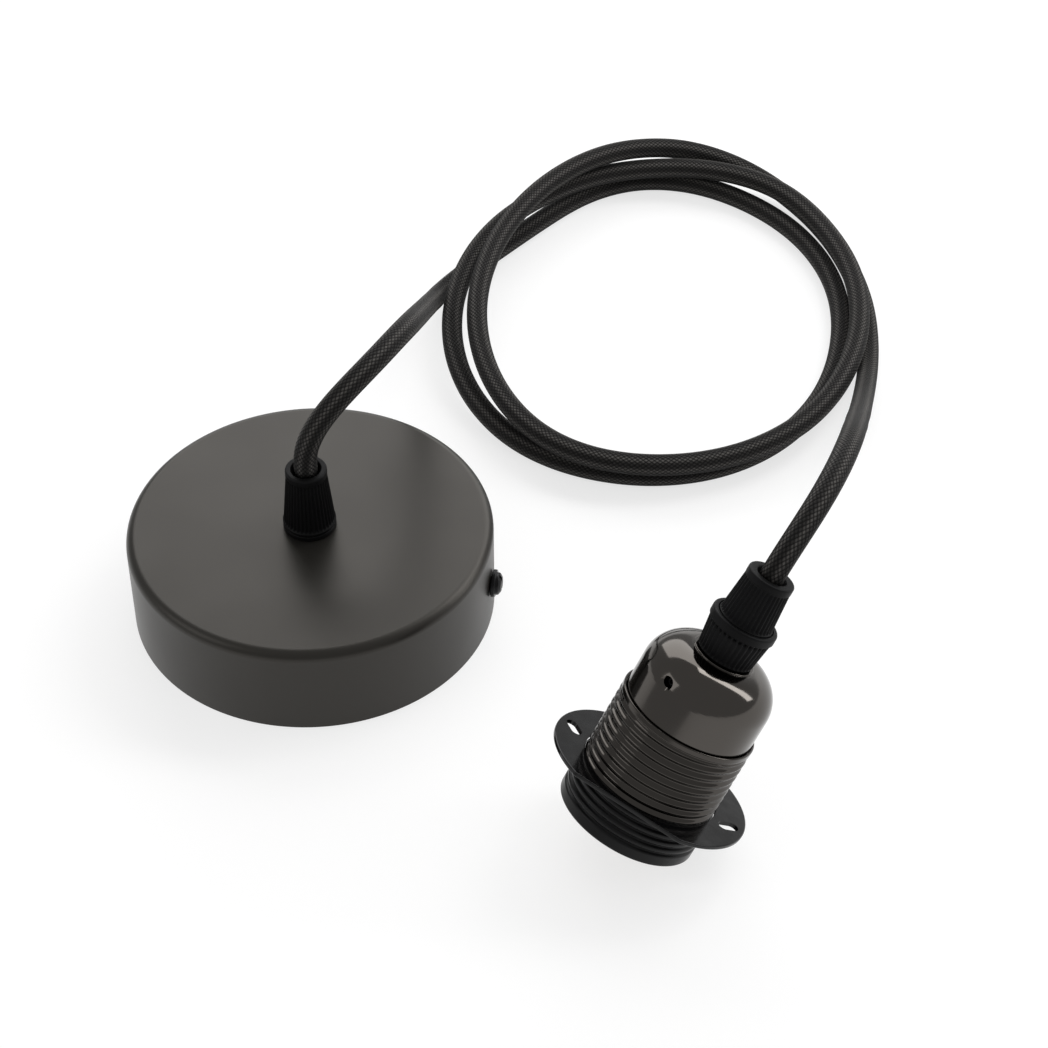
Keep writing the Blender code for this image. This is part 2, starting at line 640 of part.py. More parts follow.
def mounting_strap(end):
    """Steel strip bent up at both ends, with a centre hole, two screw slots, tab holes and fixing holes."""
    outer, inner = STRAP_REACH, STRAP_REACH - STRAP_THICKNESS
    bend = STRAP_BEND + STRAP_THICKNESS
    half_outer = [(outer, STRAP_TAB_HEIGHT)] + arc(outer - bend, bend, bend, 0, -90, 3)
    half_inner = arc(outer - bend, bend, STRAP_BEND, -90, 0, 3) + [(inner, STRAP_TAB_HEIGHT)]
    outline = half_outer + [(-x, z) for x, z in reversed(half_outer)]
    outline += [(-x, z) for x, z in reversed(half_inner)] + half_inner
    shape = prism_shape(outline, -STRAP_WIDTH / 2, STRAP_WIDTH / 2)
    strap = object_from("mounting_strap", shape, end, ZINC_STEEL, turn=(pi / 2, 0, 0))
    through = 4 * STRAP_THICKNESS
    boolean(strap, rods("strap_centre_hole", [(0, 0, 0)], (0, 0, 1), STRAP_HOLE_RADIUS, through, end, MIDDLE_SIDES))
    tabs = [(sign * outer, 0, SIDE_SCREW_HEIGHT) for sign in (-1, 1)]
    boolean(strap, rods("strap_tab_holes", tabs, (1, 0, 0), M4_RADIUS + GAP, through, end))
    for side, sign in (("right", 1), ("left", -1)):
        outline = stadium((STRAP_SLOT_LENGTH - STRAP_SLOT_WIDTH) / 2, STRAP_SLOT_WIDTH / 2, 6)
        slot = prism_shape(outline, -through, through)
        boolean(strap, object_from(f"strap_slot_{side}", slot, end, at=(sign * STRAP_SLOT_FROM_CENTRE, 0, 0)))
    earth = [(EARTH_SCREW_FROM_CENTRE, 0, 0)]
    boolean(strap, rods("strap_earth_hole", earth, (0, 0, 1), M4_RADIUS + GAP, through, end))
    block = [(BLOCK_FROM_CENTRE, POLE_PITCH / 2, 0)]
    boolean(strap, rods("strap_block_hole", block, (0, 0, 1), M25_RADIUS + GAP, through, end))


def terminal_block(end):
    """Moulded block with three brass tubes, two clamping screws on each, and its fixing screw."""
    rows = [(pole - (POLES - 1) / 2) * POLE_PITCH for pole in range(POLES)]
    size = (BLOCK_LENGTH, POLES * POLE_PITCH, BLOCK_HEIGHT)
    middle = (BLOCK_FROM_CENTRE, 0, BLOCK_BASE + BLOCK_HEIGHT / 2)
    block = bar("terminal_block", size, middle, end, NYLON_WHITE, BLOCK_EDGE)
    places = [(BLOCK_FROM_CENTRE, y, TUBE_HEIGHT) for y in rows]
    boolean(block, rods("block_bores", places, (1, 0, 0), TUBE_RADIUS + GAP, 2 * BLOCK_LENGTH, end))
    sides = (-CLAMP_SCREW_FROM_MIDDLE, CLAMP_SCREW_FROM_MIDDLE)
    screws = [(BLOCK_FROM_CENTRE + x, y) for y in rows for x in sides]
    reach = BLOCK_HEIGHT
    holes = [(x, y, TUBE_HEIGHT + reach / 2) for x, y in screws]
    screw_holes = rods("clamp_screw_holes", holes, (0, 0, 1), M25_RADIUS + GAP, reach, end)
    boolean(block, screw_holes)
    fixing = [(BLOCK_FROM_CENTRE, POLE_PITCH / 2, BLOCK_TOP)]
    boolean(block, rods("block_fixing_hole", fixing, (0, 0, 1), M25_RADIUS + GAP, 4 * BLOCK_HEIGHT, end))
    for number, place in enumerate(places, 1):
        half = TUBE_LENGTH / 2
        profile = [(TUBE_BORE, -half), (TUBE_RADIUS, -half), (TUBE_RADIUS, half), (TUBE_BORE, half)]
        brass = turned(f"terminal_tube_{number}", profile, end, BRASS, SMALL_SIDES, place, (0, pi / 2, 0))
        boolean(brass, screw_holes)
    top = BLOCK_TOP - BLOCK_EDGE
    length = top - (TUBE_HEIGHT + CORE_RADIUS + GAP)
    for number, (x, y) in enumerate(screws, 1):
        head = [(M25_RADIUS, 0)]
        screw(f"terminal_screw_{number}", (x, y, top), None, (M25_RADIUS, length), head, end, BRASS)
    head = pan_head(BLOCK_SCREW_HEAD_RADIUS, BLOCK_SCREW_HEAD)
    at = (BLOCK_FROM_CENTRE, POLE_PITCH / 2, BLOCK_TOP + GAP)
    length = BLOCK_TOP
    screw("terminal_block_screw", at, None, (M25_RADIUS, length), head, end, ZINC_STEEL)
    return rows


def strap_earth(end):
    """Earth screw on the strap with a flat tag under its head. The tag's neck points to +Y."""
    tag_base = STRAP_THICKNESS + GAP
    steps = np.linspace(pi / 2 + TAG_NECK_ROOT, 5 * pi / 2 - TAG_NECK_ROOT, MIDDLE_SIDES)
    outline = [(TAG_RADIUS * cos(a), TAG_RADIUS * sin(a)) for a in steps]
    outline += [(TAG_NECK_WIDTH / 2, TAG_NECK_LENGTH), (-TAG_NECK_WIDTH / 2, TAG_NECK_LENGTH)]
    shape = prism_shape(outline, tag_base, tag_base + TAG_THICKNESS)
    tag = object_from("earth_tag", shape, end, BRASS, at=(EARTH_SCREW_FROM_CENTRE, 0, 0))
    hole = [(EARTH_SCREW_FROM_CENTRE, 0, tag_base)]
    boolean(tag, rods("earth_tag_hole", hole, (0, 0, 1), M4_RADIUS + GAP, 4 * TAG_THICKNESS, end))
    seat = tag_base + TAG_THICKNESS + GAP
    head = pan_head(EARTH_HEAD_RADIUS, EARTH_HEAD)
    length = seat - GAP
    screw("earth_screw", (EARTH_SCREW_FROM_CENTRE, 0, seat), None, (M4_RADIUS, length), head, end, ZINC_STEEL)


def fluted_nut(name, base, height, base_radius, top_radius, spigot_top, flutes, end):
    """Tapered nut: a smooth foot, a fluted body, a smooth rim and a rounded mouth for the flex."""
    top = base + height

    def outer(z):
        return base_radius + (top_radius - base_radius) * (z - base) / height

    foot = base + GRIP_FOOT_HEIGHT
    rim = top - GRIP_RIM_HEIGHT
    band_low, band_high = foot + FLUTE_RUN_OUT, rim - FLUTE_RUN_OUT
    inner_top = spigot_top + GAP
    profile = [(outer(z), z) for z in (base, foot, band_low, band_high, rim)]
    profile += arc(top_radius - GRIP_EDGE, top - GRIP_EDGE, GRIP_EDGE, 0, 90, 2)
    profile += [
        (GRIP_MOUTH_RADIUS, top),
        (FLEX_BORE, top - GRIP_MOUTH_DEPTH),
        (FLEX_BORE, inner_top),
        (STEM_HOLE_RADIUS, inner_top),
        (STEM_HOLE_RADIUS, base),
    ]
    band = (band_low - FLUTE_RUN_OUT / 2, band_high + FLUTE_RUN_OUT / 2, STEM_HOLE_RADIUS + FLUTE_DEPTH)
    fluted(name, profile, band, flutes, end, BLACK_NYLON)


def washer(name, top, end):
    base = top - WASHER_THICKNESS
    profile = [(STEM_HOLE_RADIUS, top), (WASHER_RADIUS, top), (WASHER_RADIUS, base), (STEM_HOLE_RADIUS, base)]
    turned(name, profile, end, ZINC_STEEL, MIDDLE_SIDES)


def cup_grip(end):
    """Cord grip of the cup: a flanged hollow stem, the fluted nut on it, and washer and lock nut below."""
    flange_top = CUP_GRIP_BASE + CUP_GRIP_FLANGE
    spigot_top = flange_top + CUP_GRIP_SPIGOT
    profile = [
        (FLEX_BORE, spigot_top),
        (STEM_RADIUS, spigot_top),
        (STEM_RADIUS, flange_top),
        (CUP_NUT_BASE_RADIUS, flange_top),
        (CUP_NUT_BASE_RADIUS, CUP_GRIP_BASE),
        (STEM_RADIUS, CUP_GRIP_BASE),
        (STEM_RADIUS, CUP_STEM_BOTTOM),
        (FLEX_BORE, CUP_STEM_BOTTOM),
    ]
    turned("cup_grip_body", profile, end, BLACK_NYLON, MIDDLE_SIDES)
    fluted_nut(
        "cup_grip_nut",
        CUP_NUT_BASE,
        CUP_NUT_HEIGHT,
        CUP_NUT_BASE_RADIUS,
        CUP_NUT_TOP_RADIUS,
        spigot_top,
        CUP_NUT_FLUTES,
        end,
    )
    washer_top = CUP_HEIGHT - CUP_WALL - GAP
    washer("cup_grip_washer", washer_top, end)
    nut_base = washer_top - WASHER_THICKNESS - GAP - LOCK_NUT_HEIGHT
    hex_nut("cup_grip_lock_nut", nut_base, LOCK_NUT_HEIGHT, STEM_HOLE_RADIUS, end, ZINC_STEEL)


def flex_tail(name, bottom, top, end):
    """The sheathed end of the flex inside its grip."""
    radius = FLEX_DIAMETER / 2
    turned(name, [(0, top), (radius, top), (radius, bottom), (0, bottom)], end, BLACK_TEXTILE, SMALL_SIDES)


def cup_cores(end, rows):
    """Three cores from the flex to the block's tubes, and the link from the block to the earth tag."""
    top = CUP_TAIL_BOTTOM - GAP
    entry = BLOCK_FROM_CENTRE - BLOCK_LENGTH / 2
    inside = BLOCK_FROM_CENTRE - CLAMP_SCREW_FROM_MIDDLE + M25_RADIUS
    down, across = (0, 0, -1), (1, 0, 0)
    cores = (("live", CORE_BROWN, -120), ("neutral", CORE_BLUE, 0), ("earth", CORE_GREEN, 120))
    for (kind, finish, heading), y in zip(cores, rows):
        x0 = CORE_RING_RADIUS * cos(radians(heading))
        y0 = CORE_RING_RADIUS * sin(radians(heading))
        first = np.array((x0, y0, top))
        way = np.array((entry, y, TUBE_HEIGHT)) - first
        bends = [first + np.multiply(share, way) for share in CUP_CORE_BENDS]
        points = [first, *bends, (entry - CORE_LEAD, y, TUBE_HEIGHT), (inside, y, TUBE_HEIGHT)]
        core(f"cup_core_{kind}", points, down, across, end, finish)
    exit_at = BLOCK_FROM_CENTRE + BLOCK_LENGTH / 2
    tag_z = STRAP_THICKNESS + 2 * GAP + TAG_THICKNESS + CORE_RADIUS
    points = [
        (exit_at - BLOCK_LENGTH / 4, rows[-1], TUBE_HEIGHT),
        (exit_at + CORE_LEAD, rows[-1], TUBE_HEIGHT),
        *EARTH_LINK_BENDS,
        (EARTH_SCREW_FROM_CENTRE, TAG_NECK_LENGTH - TAG_NECK_WIDTH, tag_z),
    ]
    core("earth_link", points, across, (0, -1, 0), end, CORE_GREEN)


def lower_ring(end):
    """Black skirt at the lamp's end: a plain band, ribs above it, and a spigot inside the sleeve."""
    pitch = (LOWER_RING_HEIGHT - LOWER_RING_BAND) / LOWER_RING_RIBS
    root = LOWER_RING_RADIUS - LOWER_RING_RIB_DEPTH
    ribs = []
    for rib in reversed(range(LOWER_RING_RIBS)):
        base = LOWER_RING_BAND + rib * pitch
        ribs += [(LOWER_RING_RADIUS, base + RIB_END * pitch), (LOWER_RING_RADIUS, base + RIB_FULL * pitch)]
        ribs.append((root, base + RIB_START * pitch))
    spigot = SLEEVE_BORE - GAP
    spigot_top = LOWER_RING_HEIGHT + LOWER_RING_SPIGOT
    profile = (
        [(LOWER_RING_BORE, spigot_top), (spigot, spigot_top), (spigot, LOWER_RING_HEIGHT)]
        + [(root, LOWER_RING_HEIGHT)]
        + ribs
        + [(LOWER_RING_RADIUS, LOWER_RING_BAND), (LOWER_RING_RADIUS, 0)]
        + [(LOWER_RING_BORE + CHAMFER, 0), (LOWER_RING_BORE, CHAMFER)]
    )
    turned("lower_ring", profile, end, BLACK_PLASTIC)


def ear_ring(end):
    """Shade ring: a flat plate with two round ears, each with a slot, and two flats between them."""
    flat = EAR_FLAT_FROM_AXIS
    plate_outline = [(x, max(-flat, min(flat, y))) for x, y in stadium(EAR_CENTRE, EAR_RADIUS)]
    plate = prism_shape(plate_outline, EAR_RING_BASE, EAR_RING_TOP)
    ring = object_from("ear_ring", plate, end, BLACK_PLASTIC)
    bore = THREAD_RADIUS + GAP
    middle = (EAR_RING_BASE + EAR_RING_TOP) / 2
    boolean(ring, rods("ear_ring_bore", [(0, 0, middle)], (0, 0, 1), bore, 3 * EAR_RING_TOP, end, ROUND_SIDES))
    for side, sign in (("right", 1), ("left", -1)):
        outline = stadium((EAR_SLOT_LENGTH - EAR_SLOT_WIDTH) / 2, EAR_SLOT_WIDTH / 2, 6)
        slot = prism_shape(outline, EAR_RING_BASE - EAR_RING_THICKNESS, EAR_RING_TOP + EAR_RING_THICKNESS)
        at = (sign * EAR_SLOT_FROM_AXIS, 0, 0)
        boolean(ring, object_from(f"ear_slot_{side}", slot, end, at=at, turn=(0, 0, sign * EAR_SLOT_TILT)))


def threaded_sleeve(end):
    """Thin metal sleeve with a rolled round thread, drawn as rings, and a plain lip that takes the cap."""
    bottom = EAR_RING_BASE
    root = THREAD_RADIUS - THREAD_DEPTH
    lip_base = SLEEVE_TOP - SLEEVE_LIP_HEIGHT
    lip_bore = CAP_RADIUS + GAP
    turns = int((lip_base - bottom) / THREAD_PITCH)
    thread = []
    for turn in range(turns):
        top = lip_base - turn * THREAD_PITCH
        thread += [(root, top - THREAD_ROOT_AT * THREAD_PITCH), (THREAD_RADIUS, top - THREAD_CREST_AT * THREAD_PITCH)]
    profile = (
        [(lip_bore, SLEEVE_TOP), (THREAD_RADIUS, SLEEVE_TOP), (THREAD_RADIUS, lip_base)]
        + thread
        + [(root, bottom), (SLEEVE_BORE, bottom)]
        + [(SLEEVE_BORE, SLEEVE_TOP - CAP_INSERTION - GAP), (lip_bore, SLEEVE_TOP - CAP_INSERTION - GAP)]
    )
    turned("threaded_sleeve", profile, end, BLACK_NICKEL)


def cap_outline_radius(height):
    """Outer radius of the cap's rounded shoulder at a height."""
    rise = height - (CAP_TOP - CAP_SHOULDER_RADIUS)
    return CAP_RADIUS - CAP_SHOULDER_RADIUS + sqrt(CAP_SHOULDER_RADIUS**2 - max(rise, 0) ** 2)


def holder_cap(end):
    """Spun cap with a rounded shoulder, a low collar at its top hole, a side hole and the grub screw in it."""
    centre = CAP_RADIUS - CAP_SHOULDER_RADIUS
    spring = CAP_TOP - CAP_SHOULDER_RADIUS
    outer = arc(centre, spring, CAP_SHOULDER_RADIUS, 90, 0, CAP_SHOULDER_STEPS)
    inner = arc(centre, spring, CAP_SHOULDER_RADIUS - CAP_WALL, 0, 90)
    profile = (
        [(STEM_HOLE_RADIUS, CAP_COLLAR_TOP), (CAP_COLLAR_RADIUS - CHAMFER, CAP_COLLAR_TOP)]
        + [(CAP_COLLAR_RADIUS, CAP_COLLAR_TOP - CHAMFER)]
        + [point for point in outer if point[0] > CAP_COLLAR_RADIUS]
        + [(CAP_RADIUS, CAP_BOTTOM), (CAP_RADIUS - CAP_WALL, CAP_BOTTOM)]
        + inner
        + [(STEM_HOLE_RADIUS, CAP_TOP - CAP_WALL)]
    )
    cap = turned("holder_cap", profile, end, BLACK_NICKEL)
    face = cap_outline_radius(CAP_HOLE_HEIGHT)
    outward = Vector((cos(CAP_HOLE_HEADING), sin(CAP_HOLE_HEADING), 0))
    height = Vector((0, 0, CAP_HOLE_HEIGHT))
    boolean(cap, rods("cap_side_hole", [outward * face + height], outward, CAP_HOLE_RADIUS, 6 * CAP_WALL, end))
    half = GRUB_SCREW_LENGTH / 2
    middle = outward * (face - GRUB_SCREW_SUNK - half) + height
    radius = GRUB_SCREW_RADIUS
    profile = [(0, half), (radius, half), (radius, -half), (0, -half)]
    turn = (0, pi / 2, CAP_HOLE_HEADING)
    grub = turned("cap_grub_screw", profile, end, BLACK_SCREW, SMALL_SIDES, middle, turn)
    boolean(grub, rods("grub_socket", [(0, 0, half)], (0, 0, 1), GRUB_SOCKET_RADIUS, GRUB_SCREW_LENGTH / 2, grub, 6))


def holder_grip(end):
    """Cord grip of the holder: a fluted collar with a smooth band on a hollow stem, the nut and lock nut."""
    base, top = HOLDER_GRIP_BASE, HOLDER_GRIP_TOP
    band = top - HOLDER_GRIP_BAND
    floor = top - HOLDER_GRIP_RECESS
    spigot_top = floor + HOLDER_GRIP_SPIGOT
    groove_radius = HOLDER_GRIP_TOP_RADIUS - HOLDER_GRIP_GROOVE
    flute_low, flute_high = base + FLUTE_RUN_OUT, band - HOLDER_GRIP_GROOVE_WIDTH
    recess = HOLDER_NUT_BASE_RADIUS + GAP
    profile = [
        (FLEX_BORE, spigot_top),
        (STEM_RADIUS, spigot_top),
        (STEM_RADIUS, floor),
        (recess, floor),
        (recess, top),
        (HOLDER_GRIP_TOP_RADIUS - GRIP_EDGE, top),
        (HOLDER_GRIP_TOP_RADIUS, top - GRIP_EDGE),
        (HOLDER_GRIP_TOP_RADIUS, band),
        (groove_radius, band),
        (groove_radius, flute_high),
        (HOLDER_GRIP_TOP_RADIUS - FLUTE_RUN_OUT, flute_high),
        (HOLDER_GRIP_BASE_RADIUS, flute_low),
        (HOLDER_GRIP_BASE_RADIUS, base),
        (STEM_RADIUS, base),
        (STEM_RADIUS, HOLDER_STEM_BOTTOM),
        (FLEX_BORE, HOLDER_STEM_BOTTOM),
    ]
    inside = STEM_RADIUS + FLUTE_DEPTH
    fluted("holder_grip_body", profile, (flute_low, flute_high, inside), HOLDER_NUT_FLUTES, end, BLACK_NYLON)
    fluted_nut(
        "holder_grip_nut",
        HOLDER_NUT_BASE,
        HOLDER_NUT_HEIGHT,
        HOLDER_NUT_BASE_RADIUS,
        HOLDER_NUT_TOP_RADIUS,
        spigot_top,
        HOLDER_NUT_FLUTES,
        end,
    )
    washer("holder_grip_washer", HOLDER_WASHER_TOP, end)
    nut_base = BRIDGE_TOP - BRIDGE_THICKNESS - GAP - HOLDER_LOCK_NUT_HEIGHT
    hex_nut("holder_lock_nut", nut_base, HOLDER_LOCK_NUT_HEIGHT, STEM_HOLE_RADIUS, end, ZINC_STEEL)


def insert_bridge(end):
    """Folded steel bridge that hangs from the stem and carries the ceramic insert on its two feet."""
    top, span, thick = BRIDGE_TOP, BRIDGE_HALF_SPAN, BRIDGE_THICKNESS
    foot = INSERT_TOP + GAP
    half_outer = [(span, top), (span, foot + thick), (BRIDGE_FOOT_REACH, foot + thick)]
    half_inner = [(BRIDGE_FOOT_REACH, foot), (span - thick, foot), (span - thick, top - thick)]
    half = half_outer + half_inner
    outline = half + [(-y, z) for y, z in reversed(half)]
    shape = prism_shape(outline, -BRIDGE_WIDTH / 2, BRIDGE_WIDTH / 2)
    bridge = object_from("insert_bridge", shape, end, ZINC_STEEL, turn=(pi / 2, 0, pi / 2))
    boolean(bridge, rods("bridge_stem_hole", [(0, 0, top)], (0, 0, 1), STEM_HOLE_RADIUS, 4 * thick, end, MIDDLE_SIDES))
    feet = [(0, sign * INSERT_SCREW_FROM_AXIS, foot) for sign in (-1, 1)]
    boolean(bridge, rods("bridge_foot_holes", feet, (0, 0, 1), M3_RADIUS + GAP, 4 * thick, end))
    earth = [(0, span, TERMINAL_BASE + TERMINAL_HEIGHT / 2)]
    boolean(bridge, rods("bridge_earth_hole", earth, (0, 1, 0), M25_RADIUS + GAP, 4 * thick, end))


def lamp_insert(end):
    """Ceramic insert with the lamp's cavity below and blind screw holes above, and its two screws."""
    flange = SLEEVE_BORE - GAP
    flange_base = INSERT_TOP - INSERT_FLANGE_HEIGHT
    cavity = SHELL_RADIUS + GAP
    profile = [
        (0, INSERT_TOP),
        (flange, INSERT_TOP),
        (flange, flange_base),
        (INSERT_RADIUS, flange_base),
        (INSERT_RADIUS, INSERT_BOTTOM),
        (cavity, INSERT_BOTTOM),
        (cavity, INSERT_CEILING),
        (0, INSERT_CEILING),
    ]
    insert = turned("lamp_insert", profile, end, CERAMIC)
    seat = INSERT_TOP + GAP + BRIDGE_THICKNESS + GAP
    depth = seat - INSERT_SCREW_LENGTH - GAP
    places = [(0, sign * INSERT_SCREW_FROM_AXIS, INSERT_TOP) for sign in (-1, 1)]
    boolean(insert, rods("insert_screw_holes", places, (0, 0, 1), M3_RADIUS + GAP, 2 * (INSERT_TOP - depth), end))
    middle = [(0, 0, (INSERT_TOP + INSERT_CEILING) / 2)]
    through = 2 * (INSERT_TOP - INSERT_CEILING)
    boolean(insert, rods("insert_rivet_hole", middle, (0, 0, 1), CONTACT_RIVET_RADIUS + GAP, through, end))
    head = pan_head(INSERT_SCREW_HEAD_RADIUS, INSERT_SCREW_HEAD)
    for number, sign in enumerate((-1, 1), 1):
        at = (0, sign * INSERT_SCREW_FROM_AXIS, seat)
        screw(f"insert_screw_{number}", at, None, (M3_RADIUS, INSERT_SCREW_LENGTH), head, end, ZINC_STEEL)


def lamp_contacts(end):
    """Thin screw shell for the lamp's thread, and the riveted centre contact."""
    half = SHELL_PITCH / 2
    rows = [(SHELL_BOTTOM + i * half, SHELL_WAVE * (i % 2)) for i in range(2 * SHELL_TURNS + 1)]
    outer = [(SHELL_RADIUS - wave, z) for z, wave in rows]
    inner = [(r - SHELL_WALL, z) for r, z in reversed(outer)]
    turned("lamp_screw_shell", outer + inner, end, BRASS, MIDDLE_SIDES)
    seat = INSERT_CEILING - GAP
    profile = [
        (0, INSERT_TOP),
        (CONTACT_RIVET_RADIUS, INSERT_TOP),
        (CONTACT_RIVET_RADIUS, seat),
        (CONTACT_RADIUS, seat),
        (CONTACT_RADIUS, seat - CONTACT_THICKNESS),
        (CONTACT_RADIUS / 2, seat - CONTACT_DROP),
        (0, seat - CONTACT_DROP),
    ]
    turned("centre_contact", profile, end, BRASS, SMALL_SIDES)


def holder_terminals(end):
    """Three brass clamp terminals on the insert, each with its screw and the core that it holds."""
    bore = CORE_RADIUS + GAP
    middle = TERMINAL_BASE + TERMINAL_HEIGHT / 2
    tail = HOLDER_TAIL_BOTTOM - GAP
    down = (0, 0, -1)
    kinds = (
        ("live", CORE_BROWN, 180, 210, TERMINAL_FROM_AXIS),
        ("neutral", CORE_BLUE, 0, 330, TERMINAL_FROM_AXIS),
        ("earth", CORE_GREEN, 90, 90, EARTH_TERMINAL_FROM_AXIS),
    )
    for kind, finish, heading, core_heading, reach in kinds:
        outward = Vector((round(cos(radians(heading))), round(sin(radians(heading))), 0))
        place = outward * reach
        size = (TERMINAL_SIZE, TERMINAL_SIZE, TERMINAL_HEIGHT)
        block = bar(f"holder_terminal_{kind}", size, place + Vector((0, 0, middle)), end, BRASS)
        boolean(block, rods(f"{kind}_wire_bore", [place], (0, 0, 1), bore, 4 * INSERT_TOP, end))
        hole = place + outward * TERMINAL_SIZE / 2 + Vector((0, 0, middle))
        boolean(block, rods(f"{kind}_clamp_hole", [hole], outward, M25_RADIUS + GAP, TERMINAL_SIZE, end))
        tip = reach + CORE_RADIUS + GAP
        head_at = tip + TERMINAL_SCREW_LENGTH
        head = [(M25_RADIUS, 0)]
        if kind == "earth":
            head_at = BRIDGE_HALF_SPAN + GAP
            head = pan_head(EARTH_TERMINAL_SCREW_HEAD_RADIUS, EARTH_TERMINAL_SCREW_HEAD)
        at = outward * head_at + Vector((0, 0, middle))
        turn = (0, pi / 2, radians(heading))
        screw(f"holder_{kind}_screw", at, turn, (M25_RADIUS, head_at - tip), head, end, BRASS)
        x0 = CORE_RING_RADIUS * cos(radians(core_heading))
        y0 = CORE_RING_RADIUS * sin(radians(core_heading))
        block_top = TERMINAL_BASE + TERMINAL_HEIGHT
        first = np.array((x0, y0, tail))
        way = np.array((place.x, place.y, block_top)) - first
        bends = [first + np.multiply((aside, aside, down_share), way) for aside, down_share in HOLDER_CORE_BENDS]
        points = [first, *bends, (place.x, place.y, block_top), (place.x, place.y, TERMINAL_BASE + GAP)]
        core(f"holder_core_{kind}", points, down, down, end, finish)


def free_flex(cup, holder):
    """The flex between the two grips, in the open, through the route's points."""
    below_mouth = GAP - TAIL_BELOW_MOUTH
    start = cup.matrix_world @ Vector((0, 0, CUP_NUT_TOP + below_mouth))
    finish = holder.matrix_world @ Vector((0, 0, HOLDER_NUT_TOP + below_mouth))
    up = Vector((0, 0, 1))
    axis = holder.matrix_world.to_3x3() @ up
    route = [start] + [(CUP_AT[0] + x, CUP_AT[1] + y, z) for x, y, z in FLEX_ROUTE] + [finish]
    run = run_through(route, up, -axis, FLEX_POINTS, FLEX_BEND_WEIGHT, FLEX_STRAIGHT_END)
    tube("flex_cord", run, FLEX_DIAMETER / 2, None, BLACK_TEXTILE, 2)


def main():
    for obj in list(bpy.data.objects):
        bpy.data.objects.remove(obj)
    cup = empty_at("ceiling_end", (*CUP_AT, 0), Matrix.Rotation(CUP_TURN, 3, "Z"))
    turn = (
        Matrix.Rotation(HOLDER_HEADING, 3, "Z")
        @ Matrix.Rotation(HOLDER_LEAN, 3, "Y")
        @ Matrix.Rotation(HOLDER_SPIN, 3, "Z")
    )
    place = (
        CUP_AT[0] + HOLDER_FROM_CUP[0],
        CUP_AT[1] + HOLDER_FROM_CUP[1],
        LOWER_RING_RADIUS * sin(HOLDER_LEAN),
    )
    holder = empty_at("holder_end", place, turn)
    bpy.context.view_layer.update()
    ceiling_cup(cup)
    side_screws(cup)
    mounting_strap(cup)
    rows = terminal_block(cup)
    strap_earth(cup)
    cup_grip(cup)
    flex_tail("cup_flex_tail", CUP_TAIL_BOTTOM, CUP_NUT_TOP - TAIL_BELOW_MOUTH, cup)
    cup_cores(cup, rows)
    lower_ring(holder)
    ear_ring(holder)
    threaded_sleeve(holder)
    holder_cap(holder)
    holder_grip(holder)
    flex_tail("holder_flex_tail", HOLDER_TAIL_BOTTOM, HOLDER_NUT_TOP - TAIL_BELOW_MOUTH, holder)
    insert_bridge(holder)
    lamp_insert(holder)
    lamp_contacts(holder)
    holder_terminals(holder)
    free_flex(cup, holder)


main()
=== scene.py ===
"""Pendant light fitting, dressed for looks: ceiling cup, braided flex and threaded lamp holder.

Sizes are in metres, +Z is up. Each end is worked out about its own axis and then placed
by the same turn as the solids that it stands for.
"""

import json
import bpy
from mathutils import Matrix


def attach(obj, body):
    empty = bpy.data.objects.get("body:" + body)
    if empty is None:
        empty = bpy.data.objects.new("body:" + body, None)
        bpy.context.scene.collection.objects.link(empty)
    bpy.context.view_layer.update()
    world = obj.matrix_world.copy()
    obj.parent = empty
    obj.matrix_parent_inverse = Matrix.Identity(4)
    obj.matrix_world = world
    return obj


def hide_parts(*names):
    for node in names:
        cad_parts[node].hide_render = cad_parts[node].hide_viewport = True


bl_info = {
    "name": "Pendant light fitting",
    "version": (1, 0, 0),
    "blender": (4, 5, 0),
    "location": "3D View > Sidebar > Pendant",
    "description": "Builds the finished surfaces of a pendant light fitting on its packed solids",
    "category": "Add Mesh",
}

from math import cos, pi, radians, sin, sqrt

import bmesh
import bpy
import numpy as np
from bpy.props import FloatProperty, FloatVectorProperty, IntProperty, PointerProperty
from mathutils import Matrix, Quaternion, Vector

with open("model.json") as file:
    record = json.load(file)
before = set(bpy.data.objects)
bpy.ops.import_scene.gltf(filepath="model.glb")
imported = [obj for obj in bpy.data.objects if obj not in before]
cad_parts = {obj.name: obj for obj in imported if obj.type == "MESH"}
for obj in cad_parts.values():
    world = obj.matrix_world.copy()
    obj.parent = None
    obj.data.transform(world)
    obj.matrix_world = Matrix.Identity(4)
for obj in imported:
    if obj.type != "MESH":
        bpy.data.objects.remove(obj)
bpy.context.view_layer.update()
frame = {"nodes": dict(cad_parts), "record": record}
NODES = frame["nodes"]

# Roundings of turned edges, from a crisp one to a full one
CRISP = 0.0001
FINE = 0.0002
SOFT = 0.0003
FULL = 0.0006

# Columns of points round the pieces
LARGE_SIDES = 256
RING_SIDES = 192
SOCKET_SIDES = 160
STEM_SIDES = 96
SMALL_SIDES = 64
GRUB_SIDES = 48
FLEX_SIDES = 32
PLATE_SIDES = 480
SIDES_PER_FLUTE = 8

# Least angle of an edge that is marked sharp after a cut
SHARP_ANGLE = radians(25)

# Places of the two ends, and fits shared by all pieces
GAP = 0.0003
CUP_AT = (-0.0395, 0.0324)
CUP_TURN = radians(-9.5)
HOLDER_FROM_CUP = (0.0907, -0.0963)
HOLDER_LEAN = radians(30.8)
HOLDER_HEADING = radians(30.1)
HOLDER_SPIN = radians(-55.0)

